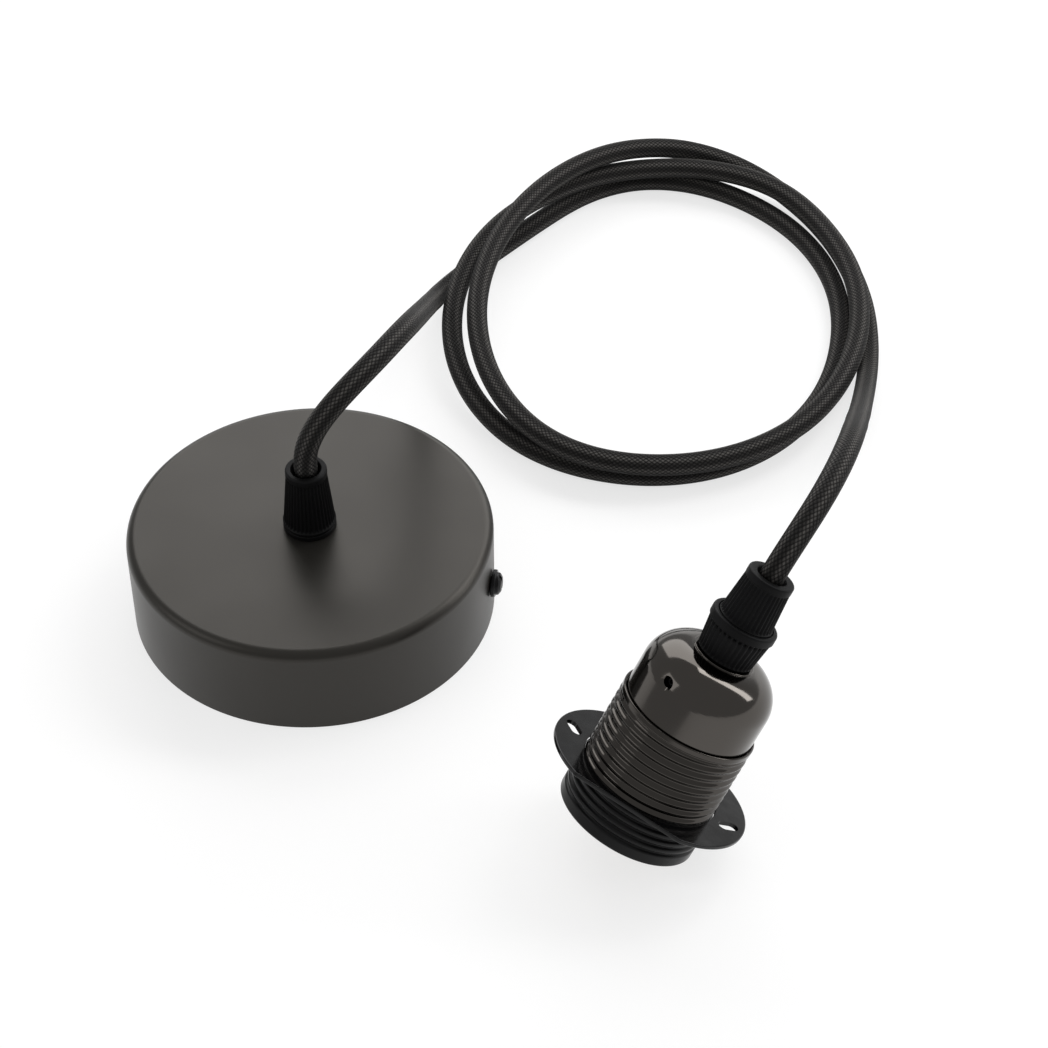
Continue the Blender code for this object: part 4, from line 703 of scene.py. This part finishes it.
class FittingColours(bpy.types.PropertyGroup):
    """Colours of the finishes."""

    enamel: colour_of("Cup enamel", "Paint of the ceiling cup", "#1d1c1a")
    nickel: colour_of("Black nickel", "Plate of the sleeve and the cap", "#4a4744")
    nylon: colour_of("Grip plastic", "Moulded grips on the flex", "#0b0b0c")
    ring: colour_of("Ring plastic", "The two shade rings", "#0c0c0d")
    screw: colour_of("Black screws", "Side screws and grub screw", "#1c1c1d")
    braid: colour_of("Flex braid", "Yarn of the flex", "#1c1b1a")
    zinc: colour_of("Zinc", "Strap, nuts and washers", "#c4c6c9")
    brass: colour_of("Brass", "Contacts and terminals", "#dcb877")
    ceramic: colour_of("Ceramic", "The lamp's insert", "#ece9e1")
    block: colour_of("Terminal block", "Body of the terminal block", "#e6e5de")
    brown: colour_of("Live core", "Brown insulation", "#6b3a1e")
    blue: colour_of("Neutral core", "Blue insulation", "#2a58b8")
    green: colour_of("Earth core", "Green insulation", "#6f9a2a")


def settings():
    return bpy.context.scene.fitting_sizes, bpy.context.scene.fitting_colours


def finished(obj, material, slot, *nodes):
    """Gives a new piece its material and its body, and hides the solids that it stands for. The slot is not
    used.
    """
    obj.data.materials.clear()
    obj.data.materials.append(material)
    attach(obj, "root")
    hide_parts(*nodes)
    return obj


def painted(material, *nodes):
    """Gives solids that are shown as they are a better material."""
    for name in nodes:
        for slot in NODES[name].material_slots:
            slot.material = material


def turned(name, corners, place, sides, step=None, change=None, closed=True, arc_points=6):
    """A turned piece: rounded corners, cut up finer where a step is given, carried round the axis."""
    profile = outline(corners, closed, arc_points)
    if step:
        profile = finer(profile, step)
    return surface(name, turned_grid(profile, sides, change), place, closed)


class PieceOperator(bpy.types.Operator):
    bl_options = {"REGISTER", "UNDO"}


class BuildCup(PieceOperator):
    """Turned cup with a rounded top edge and a thin wall"""

    bl_idname = "fitting.ceiling_cup"
    bl_label = "Ceiling cup"

    def execute(self, context):
        _, colours = settings()
        hole = STEM_RADIUS + GAP
        inner, under = CUP_RADIUS - CUP_WALL, CUP_HEIGHT - CUP_WALL
        corners = [
            (hole, CUP_HEIGHT, FINE),
            (CUP_RADIUS, CUP_HEIGHT, CUP_EDGE_RADIUS),
            (CUP_RADIUS, 0, SOFT),
            (inner, 0, SOFT),
            (inner, under, CUP_EDGE_RADIUS - CUP_WALL),
            (hole, under, FINE),
        ]
        cup = turned("ceiling_cup_shell", corners, CUP_FRAME, LARGE_SIDES, arc_points=12)
        finished(cup, satin_black_enamel(colours), "cup_paint", "ceiling_cup")
        return {"FINISHED"}


class BuildSideScrews(PieceOperator):
    """Flanged dome screw in the cup's wall, and a headless one, flush with the wall, opposite"""

    bl_idname = "fitting.side_screws"
    bl_label = "Side screws"

    def execute(self, context):
        _, colours = settings()
        material = blackened_steel(colours)
        shank = [(0, -SCREW_SHANK_LENGTH, 0), (SCREW_SHANK_RADIUS, -SCREW_SHANK_LENGTH, SOFT)]
        flange = [
            (SCREW_SHANK_RADIUS, 0, CRISP),
            (SCREW_FLANGE_RADIUS, 0, FINE),
            (SCREW_FLANGE_RADIUS, SCREW_FLANGE_HEIGHT, SOFT),
        ]
        place = CUP_FRAME @ end_frame((CUP_RADIUS + GAP, 0, SIDE_SCREW_HEIGHT), (pi / 2, "Y"))
        screw = turned("side_screw_domed", shank + flange + SCREW_DOME, place, SMALL_SIDES, closed=False)
        slot = long_hole(DOME_SLOT_LENGTH, DOME_SLOT_WIDTH)
        cut(screw, plug(slot, DOME_SLOT_FLOOR, 2 * DOME_SLOT_FLOOR, place))
        finished(screw, material, "black_screw", "side_screw_right")
        face = [(SCREW_SHANK_RADIUS, 0, FINE), (0, 0, 0)]
        place = CUP_FRAME @ end_frame((GAP - CUP_RADIUS, 0, SIDE_SCREW_HEIGHT), (-pi / 2, "Y"))
        screw = turned("side_screw_headless", shank + face, place, SMALL_SIDES, closed=False)
        slot = long_hole(SHANK_SLOT_LENGTH, SHANK_SLOT_WIDTH)
        cut(screw, plug(slot, -SHANK_SLOT_DEPTH, SHANK_SLOT_DEPTH, place))
        finished(screw, material, "black_screw", "side_screw_left")
        return {"FINISHED"}


def fluted_nut(name, base, height, radii, spigot_top, count, place):
    """Tapered grip nut: smooth foot, fluted body, smooth rim and a rounded mouth, turned with flutes."""
    sizes, _ = settings()
    low_radius, high_radius = radii
    top = base + height
    rim = top - NUT_RIM
    foot = base + NUT_FOOT
    bore, inner_top = STEM_RADIUS + GAP, spigot_top + GAP
    corners = [
        (low_radius, base, CRISP),
        (low_radius, foot, FINE),
        (low_radius - NUT_SHOULDER, foot + NUT_SHOULDER, CRISP),
        (high_radius, rim - NUT_BEAD, CRISP),
        (high_radius + NUT_BEAD, rim, CRISP),
        (high_radius + NUT_BEAD, top, FULL),
        (NUT_MOUTH_RADIUS, top, NUT_MOUTH_ROUNDING),
        (FLEX_BORE, top - NUT_MOUTH_DEPTH, FULL),
        (FLEX_BORE, inner_top, CRISP),
        (bore, inner_top, CRISP),
        (bore, base, CRISP),
    ]
    groove = outside(flutes(count, sizes.flute_depth, foot + NUT_SHOULDER, rim, FLUTE_RUN_OUT), bore + GAP)
    return turned(name, corners, place, SIDES_PER_FLUTE * count, step=0.0005, change=groove)


class BuildCupGrip(PieceOperator):
    """Fluted cord grip on top of the cup, with its flange"""

    bl_idname = "fitting.cup_grip"
    bl_label = "Cup grip"

    def execute(self, context):
        sizes, colours = settings()
        material = moulded_nylon(colours)
        flange_top = CUP_GRIP_BASE + CUP_GRIP_FLANGE
        spigot_top = flange_top + CUP_GRIP_SPIGOT
        bottom = CUP_GRIP_BASE - CUP_STEM_LENGTH
        radii = (CUP_NUT_BASE_RADIUS, CUP_NUT_TOP_RADIUS)
        size = (CUP_NUT_BASE, CUP_NUT_HEIGHT, radii, spigot_top, sizes.cup_grip_flutes)
        nut = fluted_nut("cup_grip_fluted_nut", *size, CUP_FRAME)
        finished(nut, material, "grip_nylon", "cup_grip_nut")
        corners = [
            (FLEX_BORE, spigot_top, FINE),
            (STEM_RADIUS, spigot_top, FINE),
            (STEM_RADIUS, flange_top, CRISP),
            (CUP_NUT_BASE_RADIUS, flange_top, SOFT),
            (CUP_NUT_BASE_RADIUS, CUP_GRIP_BASE, CRISP),
            (STEM_RADIUS, CUP_GRIP_BASE, CRISP),
            (STEM_RADIUS, bottom, FINE),
            (FLEX_BORE, bottom, FINE),
        ]
        body = turned("cup_grip_stem", corners, CUP_FRAME, STEM_SIDES)
        finished(body, material, "grip_nylon", "cup_grip_body")
        return {"FINISHED"}


def smooth_run(points, start, end, step):
    """Points step metres apart on a cubic curve through the given points.

    Its knots are spaced by the distance between the points, its end slopes are the given
    directions, and its inner slopes are solved so that the curvature is continuous.
    """
    points = np.array(points, float)
    gaps = np.linalg.norm(np.diff(points, axis=0), axis=1)
    knots = np.concatenate([[0], np.cumsum(gaps)])
    rates = np.diff(points, axis=0) / gaps[:, None]
    middle = np.zeros(len(points))
    middle[1:-1] = 2 * (gaps[:-1] + gaps[1:])
    middle[[0, -1]] = 1
    upper, lower = np.append(0, gaps[:-1]), np.append(gaps[1:], 0)
    system = np.diag(middle) + np.diag(upper, 1) + np.diag(lower, -1)
    known = np.zeros_like(points)
    known[1:-1] = 3 * (gaps[1:, None] * rates[:-1] + gaps[:-1, None] * rates[1:])
    known[0], known[-1] = start, end
    slopes = np.linalg.solve(system, known)
    along = np.linspace(0, knots[-1], 40 * len(points))
    piece = np.clip(np.searchsorted(knots, along) - 1, 0, len(gaps) - 1)
    size = gaps[piece][:, None]
    t = (along - knots[piece])[:, None] / size
    dense = (
        (1 + 2 * t) * (1 - t) ** 2 * points[piece]
        + t * (1 - t) ** 2 * size * slopes[piece]
        + t**2 * (3 - 2 * t) * points[piece + 1]
        + t**2 * (t - 1) * size * slopes[piece + 1]
    )
    run = np.concatenate([[0], np.cumsum(np.linalg.norm(np.diff(dense, axis=0), axis=1))])
    wanted = np.linspace(0, run[-1], int(run[-1] / step))
    return np.stack([np.interp(wanted, run, dense[:, i]) for i in range(3)], 1)


def tube_grid(points, radius, sides):
    """Points of a round tube with flat ends, carried along a path.

    Each ring lies across the path's direction T, on the unit vectors U and T x U. U is
    turned from ring to ring by the least turn that keeps it across T.
    """
    along = np.gradient(points, axis=0)
    along /= np.linalg.norm(along, axis=1, keepdims=True)
    across = np.zeros_like(along)
    side = np.cross(along[0], (0.3, 0.2, 0.9))
    side /= np.linalg.norm(side)
    for number, direction in enumerate(along):
        side = side - direction * side.dot(direction)
        side /= np.linalg.norm(side)
        across[number] = side
    other = np.cross(along, across)
    angle = np.linspace(0, 2 * pi, sides, endpoint=False)[None, :, None]
    rings = points[:, None] + radius * (np.cos(angle) * across[:, None] + np.sin(angle) * other[:, None])
    first, last = np.broadcast_to(points[0], rings[:1].shape), np.broadcast_to(points[-1], rings[:1].shape)
    return np.concatenate([first, rings, last])


class BuildFlex(PieceOperator):
    """Braided flex from the cup's grip round its coil to the holder's grip"""

    bl_idname = "fitting.flex"
    bl_label = "Flex"

    def execute(self, context):
        sizes, colours = settings()
        material = braided_textile(colours, sizes)
        below_mouth = GAP - TAIL_BELOW_MOUTH
        up = CUP_FRAME[:3, 2]
        axis = HOLDER_FRAME[:3, 2]
        start = CUP_FRAME[:3, 3] + up * (CUP_NUT_TOP + below_mouth)
        stop = HOLDER_FRAME[:3, 3] + axis * (HOLDER_NUT_TOP + below_mouth)
        offsets = np.array(FLEX_ROUTE) + (*CUP_AT, 0)
        route = np.concatenate([[start + up * FLEX_STRAIGHT_END], offsets, [stop + axis * FLEX_STRAIGHT_END]])
        points = np.concatenate([[start], smooth_run(route, up, -axis, FLEX_STEP), [stop]])
        tube = tube_grid(points, FLEX_DIAMETER / 2, FLEX_SIDES)
        flex = surface("braided_flex", tube, np.eye(4), closed=False)
        finished(flex, material, "flex_braid", "flex_cord")
        painted(material, "cup_flex_tail", "holder_flex_tail")
        return {"FINISHED"}


class BuildRings(PieceOperator):
    """Ribbed lower ring and the slotted ear ring of the holder"""

    bl_idname = "fitting.rings"
    bl_label = "Shade rings"

    def execute(self, context):
        sizes, colours = settings()
        lower = self.lower_ring(sizes)
        finished(lower, moulded_ring_plastic(colours), "ring_plastic", "lower_ring")
        finished(self.ear_ring(), polished_ring_plastic(colours), "ring_plastic", "ear_ring")
        return {"FINISHED"}

    def lower_ring(self, sizes):
        """Turned skirt. From the band up, the radius falls by depth (1/2 + 1/2 cos)^2 rib by rib."""
        spigot_top = LOWER_RING_HEIGHT + LOWER_RING_SPIGOT
        spigot = SLEEVE_BORE - GAP
        corners = [
            (LOWER_RING_BORE, spigot_top, FINE),
            (spigot, spigot_top, FINE),
            (spigot, LOWER_RING_HEIGHT, CRISP),
            (LOWER_RING_RADIUS, LOWER_RING_HEIGHT, SOFT),
            (LOWER_RING_RADIUS, 0, FULL),
            (LOWER_RING_BORE, 0, FULL),
        ]
        pitch = (LOWER_RING_HEIGHT - LOWER_RING_BAND) / sizes.ring_ribs

        def ribs(angle, radius, height):
            groove = (0.5 + 0.5 * np.cos(2 * pi * (height - LOWER_RING_BAND) / pitch)) ** 2
            inside = (height > LOWER_RING_BAND - pitch / 2) & (height <= LOWER_RING_HEIGHT)
            return -sizes.ring_rib_depth * groove * (inside & (radius > spigot + GAP))

        return turned("ribbed_lower_ring", corners, HOLDER_FRAME, RING_SIDES, step=0.00012, change=ribs)

    def ear_ring(self):
        """Flat plate whose rim follows two half circles and two flats, each ear with a slot.

        At angle a the flats lie at r = F / |sin a| and the half circles about (c, 0) at
        r = c |cos a| + sqrt(R^2 - c^2 sin^2 a). The rim is the nearer of the two.
        """
        edge = SOFT
        bore = THREAD_RADIUS + GAP
        outer = EAR_CENTRE + EAR_RADIUS
        corners = [
            (bore, EAR_BASE, CRISP),
            (outer, EAR_BASE, edge),
            (outer, EAR_TOP, edge),
            (bore, EAR_TOP, CRISP),
        ]
        profile = finer(outline(corners), 0.0003)
        angle = np.linspace(-pi, pi, PLATE_SIDES, endpoint=False)[None]
        flat = EAR_FLAT_FROM_AXIS / np.maximum(np.abs(np.sin(angle)), 1e-6)
        half_chord = np.sqrt(EAR_RADIUS**2 - (EAR_CENTRE * np.sin(angle)) ** 2)
        round_end = EAR_CENTRE * np.abs(np.cos(angle)) + half_chord
        rim = np.minimum(flat, round_end)
        radius, height = profile[:, :1], profile[:, 1:]
        plate_edge = np.clip(radius - (outer - edge), 0, edge)
        inner = bore + (radius - bore) * (rim - edge - bore) / (outer - edge - bore)
        radius = np.where(radius > outer - edge, rim - edge + plate_edge, inner)
        grid = np.stack([radius * np.cos(angle), radius * np.sin(angle), height + 0 * angle], -1)
        ring = surface("slotted_ear_plate", grid, HOLDER_FRAME)
        slot = long_hole(EAR_SLOT_LENGTH, EAR_SLOT_WIDTH)
        turns = [((sign * EAR_SLOT_FROM_AXIS, 0, 0), (sign * EAR_SLOT_TILT, "Z")) for sign in (1, -1)]
        low, high = EAR_BASE - EAR_THICKNESS, EAR_TOP + EAR_THICKNESS
        cut(ring, *[plug(slot, low, high, HOLDER_FRAME @ end_frame(*turn)) for turn in turns])
        return ring


class BuildSleeve(PieceOperator):
    """Rolled metal sleeve with a right-hand round thread"""

    bl_idname = "fitting.sleeve"
    bl_label = "Threaded sleeve"

    def execute(self, context):
        sizes, colours = settings()
        lip_base = SLEEVE_TOP - SLEEVE_LIP
        mouth = CAP_RADIUS + GAP
        ledge = SLEEVE_TOP - CAP_INSERTION - GAP
        corners = [
            (mouth, SLEEVE_TOP, CRISP),
            (THREAD_RADIUS, SLEEVE_TOP, SOFT),
            (THREAD_RADIUS, EAR_BASE, FINE),
            (SLEEVE_BORE, EAR_BASE, CRISP),
            (SLEEVE_BORE, ledge, CRISP),
            (mouth, ledge, CRISP),
        ]

        def thread(angle, radius, height):
            """Round thread: -depth (1/2 - 1/2 cos(2 pi (h / pitch - a / 2 pi))), run out under the lip."""
            phase = height / sizes.thread_pitch - angle / (2 * pi)
            wave = 0.5 - 0.5 * np.cos(2 * pi * phase)
            run_out = 1 - ramp(height, lip_base - THREAD_RUN_OUT, lip_base)
            neck = 0.5 * ramp(height, lip_base - NECK_START, lip_base - NECK_FULL)
            neck *= 1 - ramp(height, lip_base - NECK_END, lip_base + CRISP)
            return -sizes.thread_depth * np.maximum(wave * run_out, neck)

        look = {"step": 0.00014, "change": outside(thread, THREAD_RADIUS - GAP)}
        sleeve = turned("round_threaded_sleeve", corners, HOLDER_FRAME, LARGE_SIDES, **look)
        # Plate colour darkened to 0.9, as painted shade on the thread
        finished(sleeve, black_nickel_plate(colours, 0.9), "black_nickel", "threaded_sleeve")
        return {"FINISHED"}


class BuildCap(PieceOperator):
    """Spun cap with a rounded shoulder, a collar and a countersunk side hole with its grub screw"""

    bl_idname = "fitting.cap"
    bl_label = "Holder cap"

    def execute(self, context):
        _, colours = settings()
        inner, under = CAP_RADIUS - CAP_WALL, CAP_TOP - CAP_WALL
        bottom, collar_top = SLEEVE_TOP - CAP_INSERTION, CAP_TOP + CAP_COLLAR_HEIGHT
        bore = STEM_RADIUS + GAP
        corners = [
            (bore, collar_top, CRISP),
            (CAP_COLLAR_RADIUS, collar_top, FINE),
            (CAP_COLLAR_RADIUS, CAP_TOP - CAP_COLLAR_SINK, CRISP),
            (CAP_RADIUS, CAP_TOP, CAP_SHOULDER_ROUNDING),
            (CAP_RADIUS, bottom, CRISP),
            (inner, bottom, CRISP),
            (inner, under, CAP_SHOULDER_RADIUS - CAP_WALL),
            (bore, under, CRISP),
        ]
        cap = turned("spun_cap", corners, HOLDER_FRAME, LARGE_SIDES, step=0.0008, arc_points=20)
        rise = CAP_HOLE_HEIGHT - (CAP_TOP - CAP_SHOULDER_RADIUS)
        face = CAP_RADIUS - CAP_SHOULDER_RADIUS + sqrt(CAP_SHOULDER_RADIUS**2 - rise**2)
        floor, above = face - CAP_HOLE_DEPTH, face + CAP_DRILL_REACH
        place = HOLDER_FRAME @ end_frame((0, 0, CAP_HOLE_HEIGHT), (CAP_HOLE_HEADING, "Z"), (pi / 2, "Y"))
        drill = [
            (0, floor, 0),
            (CAP_HOLE_RADIUS, floor, 0),
            (CAP_HOLE_RADIUS, face - (CAP_HOLE_FLARE - CAP_HOLE_RADIUS), FINE),
            (CAP_HOLE_FLARE, face, 0),
            (CAP_HOLE_FLARE + CAP_DRILL_REACH, above, 0),
            (0, above, 0),
        ]
        cut(cap, turned("drill", drill, place, SMALL_SIDES, closed=False))
        # Plate colour lightened to 1.2, as painted light on the cap
        finished(cap, black_nickel_plate(colours, 1.2), "black_nickel", "holder_cap")
        screw_face, screw_end = face - GRUB_FACE_DEPTH, face - GRUB_END_DEPTH
        screw = [
            (0, screw_end, 0),
            (GRUB_RADIUS, screw_end, CRISP),
            (GRUB_RADIUS, screw_face, CRISP),
            (0, screw_face, 0),
        ]
        grub = turned("cap_grub_screw_body", screw, place, GRUB_SIDES, closed=False)
        six = np.linspace(0, 2 * pi, 6, endpoint=False)
        socket = GRUB_SOCKET_RADIUS * np.stack([np.cos(six), np.sin(six)], 1)
        cut(grub, plug(socket, screw_face - GRUB_SOCKET_DEPTH, screw_face + GRUB_SOCKET_DEPTH, place))
        finished(grub, blackened_steel(colours), "black_screw", "cap_grub_screw")
        return {"FINISHED"}


class BuildHolderGrip(PieceOperator):
    """Fluted grip body with a smooth band, and the tapered nut on it"""

    bl_idname = "fitting.holder_grip"
    bl_label = "Holder grip"

    def execute(self, context):
        sizes, colours = settings()
        material = moulded_nylon(colours)
        count = sizes.holder_grip_flutes
        band = GRIP_TOP - GRIP_BAND
        floor = GRIP_TOP - GRIP_RECESS
        spigot_top = floor + GRIP_SPIGOT
        recess = HOLDER_NUT_BASE_RADIUS + GAP
        neck = GRIP_TOP_RADIUS - GRIP_NECK
        bottom = GRIP_BASE - GRIP_STEM_LENGTH
        corners = [
            (FLEX_BORE, spigot_top, CRISP),
            (STEM_RADIUS, spigot_top, CRISP),
            (STEM_RADIUS, floor, CRISP),
            (recess, floor, CRISP),
            (recess, GRIP_TOP, FINE),
            (GRIP_TOP_RADIUS, GRIP_TOP, GRIP_EDGE),
            (GRIP_TOP_RADIUS, band, FINE),
            (neck, band, CRISP),
            (neck, band - GRIP_NECK, FINE),
            (GRIP_BASE_RADIUS, GRIP_BASE, FINE),
            (STEM_RADIUS, GRIP_BASE, CRISP),
            (STEM_RADIUS, bottom, FINE),
            (FLEX_BORE, bottom, CRISP),
        ]
        low, high = GRIP_BASE + GRIP_FLUTE_FOOT, band - GRIP_FLUTE_HEAD
        groove = flutes(count, sizes.flute_depth, low, high, GRIP_FLUTE_RUN_OUT)

        def pocketed(angle, radius, height):
            """The flutes, and under the band a pocket to each: -depth (1/2 - 1/2 cos(count a))^2."""
            pocket = (0.5 - 0.5 * np.cos(count * angle)) ** 2
            pocket = pocket * ramp(height, band - GRIP_POCKET_BOTTOM, band - GRIP_POCKET_FULL)
            pocket = pocket * (height < band - GRIP_POCKET_TOP)
            return groove(angle, radius, height) - GRIP_POCKET_DEPTH * pocket

        around = SIDES_PER_FLUTE * count
        change = outside(pocketed, STEM_RADIUS + GAP)
        body = turned("holder_grip_collar", corners, HOLDER_FRAME, around, step=0.0004, change=change)
        finished(body, material, "grip_nylon", "holder_grip_body")
        radii = (HOLDER_NUT_BASE_RADIUS, HOLDER_NUT_TOP_RADIUS)
        size = (HOLDER_NUT_BASE, HOLDER_NUT_HEIGHT, radii, spigot_top, count)
        nut = fluted_nut("holder_grip_fluted_nut", *size, HOLDER_FRAME)
        finished(nut, material, "grip_nylon", "holder_grip_nut")
        return {"FINISHED"}


class BuildSocket(PieceOperator):
    """Ceramic insert, rolled screw shell and centre contact inside the holder"""

    bl_idname = "fitting.socket"
    bl_label = "Lamp socket"

    def execute(self, context):
        _, colours = settings()
        brass = turned_brass(colours)
        cavity = SHELL_RADIUS + GAP
        flange, flange_base = SLEEVE_BORE - GAP, INSERT_TOP - INSERT_FLANGE
        corners = [
            (0, INSERT_TOP, 0),
            (flange, INSERT_TOP, INSERT_ROUNDING),
            (flange, flange_base, INSERT_ROUNDING),
            (INSERT_RADIUS, flange_base, FINE),
            (INSERT_RADIUS, INSERT_BOTTOM, FULL),
            (cavity, INSERT_BOTTOM, INSERT_ROUNDING),
            (cavity, INSERT_CEILING, FULL),
            (0, INSERT_CEILING, 0),
        ]
        insert = turned("ceramic_insert", corners, HOLDER_FRAME, SOCKET_SIDES, closed=False)
        finished(insert, glazed_ceramic(colours), "insert_ceramic", "lamp_insert")
        top = SHELL_BOTTOM + SHELL_TURNS * SHELL_PITCH
        inner = SHELL_RADIUS - SHELL_WALL
        wall = [(SHELL_RADIUS, SHELL_BOTTOM), (SHELL_RADIUS, top), (inner, top), (inner, SHELL_BOTTOM)]
        corners = [(*corner, CRISP) for corner in wall]

        def rolled(angle, radius, height):
            """Lamp thread: the whole wall moves in by depth (1/2 - 1/2 cos(2 pi (h / pitch - a / 2 pi)))."""
            ends = ramp(height, SHELL_BOTTOM, SHELL_BOTTOM + SHELL_RUN_OUT)
            ends = ends * (1 - ramp(height, top - SHELL_RUN_OUT, top))
            return -SHELL_THREAD_DEPTH * (0.5 - 0.5 * np.cos(2 * pi * height / SHELL_PITCH - angle)) * ends

        shell = turned("rolled_lamp_shell", corners, HOLDER_FRAME, SOCKET_SIDES, step=0.0003, change=rolled)
        finished(shell, brass, "brass", "lamp_screw_shell")
        seat = INSERT_CEILING - GAP
        corners = [
            (0, INSERT_TOP, 0),
            (CONTACT_STEM_RADIUS, INSERT_TOP, FINE),
            (CONTACT_STEM_RADIUS, seat, CRISP),
            (CONTACT_RADIUS, seat, SOFT),
            (CONTACT_RADIUS, seat - CONTACT_RIM, SOFT),
            (CONTACT_RADIUS / 2, seat - CONTACT_HEIGHT, CONTACT_RIM),
            (0, seat - CONTACT_HEIGHT, 0),
        ]
        contact = turned("domed_contact", corners, HOLDER_FRAME, SMALL_SIDES, closed=False)
        finished(contact, brass, "brass", "centre_contact")
        return {"FINISHED"}


class PaintInnerParts(PieceOperator):
    """Finishes of the strap, terminals, cores and fasteners that keep their solids"""

    bl_idname = "fitting.inner_parts"
    bl_label = "Inner parts"

    def execute(self, context):
        _, colours = settings()
        by_slot = {
            "zinc_steel": zinc_plate(colours),
            "brass": turned_brass(colours),
            "block_nylon": natural_nylon(colours),
            "core_brown": core_insulation("brown", colours.brown),
            "core_blue": core_insulation("blue", colours.blue),
            "core_green": core_insulation("green", colours.green),
        }
        replaced = {"lamp_screw_shell", "centre_contact"}
        for part in frame["record"]["subparts"]:
            if part["material_slot"] in by_slot and part["node"] not in replaced:
                painted(by_slot[part["material_slot"]], part["node"])
        return {"FINISHED"}


class SetStage(PieceOperator):
    """Pale floor, plain soft lights and the camera at the picture's viewing angle"""

    bl_idname = "fitting.stage"
    bl_label = "Stage"

    def execute(self, context):
        scene = context.scene
        scene.view_settings.view_transform = "Standard"
        self.floor()
        self.world(scene)
        for description in LAMPS:
            self.lamp(*description)
        camera = bpy.data.objects.new("camera", bpy.data.cameras.new("camera"))
        camera.data.lens = CAMERA_LENS
        camera.location = CAMERA_AT
        camera.rotation_euler = (CAMERA_TILT, 0, 0)
        scene.collection.objects.link(camera)
        scene.camera = camera
        return {"FINISHED"}

    def seen_directly(self, tree):
        """1 for rays from the camera or by way of a mirror or glass, and 0 for light that falls on things."""
        path = add(tree, "ShaderNodeLightPath")
        seen = path.outputs["Is Camera Ray"]
        for kind in ("Is Glossy Ray", "Is Transmission Ray"):
            pair = {0: seen, 1: path.outputs[kind]}
            seen = add(tree, "ShaderNodeMath", pair, operation="MAXIMUM").outputs[0]
        return seen

    def floor(self):
        """Matt white board. Seen directly it is mostly plain white, with the object's soft shadow kept."""
        shape = bmesh.new()
        bmesh.ops.create_grid(shape, x_segments=1, y_segments=1, size=FLOOR_HALF_WIDTH)
        mesh = bpy.data.meshes.new("floor")
        shape.to_mesh(mesh)
        shape.free()
        floor = bpy.data.objects.new("floor", mesh)
        bpy.context.scene.collection.objects.link(floor)
        material, tree, shader, _ = finish("matt white board", linear("#e6e6e6"), 0.9)
        board = add(tree, "ShaderNodeBsdfDiffuse", values={"Color": (BOARD_GREY, BOARD_GREY, BOARD_GREY, 1)})
        white = add(tree, "ShaderNodeEmission", values={"Color": (1, 1, 1, 1), "Strength": BOARD_GLOW})
        both = add(tree, "ShaderNodeAddShader", {0: board.outputs[0], 1: white.outputs[0]})
        choice = {"Fac": self.seen_directly(tree), 1: shader.outputs[0], 2: both.outputs[0]}
        switch = add(tree, "ShaderNodeMixShader", choice)
        tree.links.new(switch.outputs[0], tree.nodes["Material Output"].inputs["Surface"])
        mesh.materials.append(material)

    def world(self, scene):
        """Even pale light from all round, the same for every ray."""
        world = bpy.data.worlds.new("studio")
        world.use_nodes = True
        light = world.node_tree.nodes["Background"]
        light.inputs["Color"].default_value = (1, 1, 1, 1)
        light.inputs["Strength"].default_value = SKY_STRENGTH
        scene.world = world

    def lamp(self, name, place, aim, size, power, roll):
        """Rectangular lamp that faces a point, turned by roll about its beam."""
        light = bpy.data.lights.new(name, "AREA")
        light.shape = "RECTANGLE"
        light.size, light.size_y = size
        light.energy = power
        obj = bpy.data.objects.new(name, light)
        obj.location = place
        towards = (Vector(aim) - Vector(place)).to_track_quat("-Z", "Y")
        obj.rotation_euler = (towards @ Quaternion((0, 0, 1), roll)).to_euler()
        bpy.context.scene.collection.objects.link(obj)


OPERATORS = (
    SetStage,
    BuildFlex,
    BuildCup,
    BuildSideScrews,
    BuildCupGrip,
    BuildRings,
    BuildSleeve,
    BuildCap,
    BuildHolderGrip,
    BuildSocket,
    PaintInnerParts,
)


class FittingPanel(bpy.types.Panel):
    """Lists the fitting's settings and pieces"""

    bl_idname = "VIEW3D_PT_pendant_fitting"
    bl_label = "Pendant light fitting"
    bl_space_type = "VIEW_3D"
    bl_region_type = "UI"
    bl_category = "Pendant"

    def draw(self, context):
        for group in (context.scene.fitting_sizes, context.scene.fitting_colours):
            box = self.layout.box()
            for name in group.__annotations__:
                box.prop(group, name)
        for operator in OPERATORS:
            self.layout.operator(operator.bl_idname)


CLASSES = (FittingSizes, FittingColours, *OPERATORS, FittingPanel)


def register():
    for item in CLASSES:
        bpy.utils.register_class(item)
    bpy.types.Scene.fitting_sizes = PointerProperty(type=FittingSizes)
    bpy.types.Scene.fitting_colours = PointerProperty(type=FittingColours)


def unregister():
    del bpy.types.Scene.fitting_colours
    del bpy.types.Scene.fitting_sizes
    for item in reversed(CLASSES):
        bpy.utils.unregister_class(item)


def main():
    register()
    for operator in OPERATORS:
        group, name = operator.bl_idname.split(".")
        getattr(getattr(bpy.ops, group), name)()


if __name__ == "__main__":
    main()
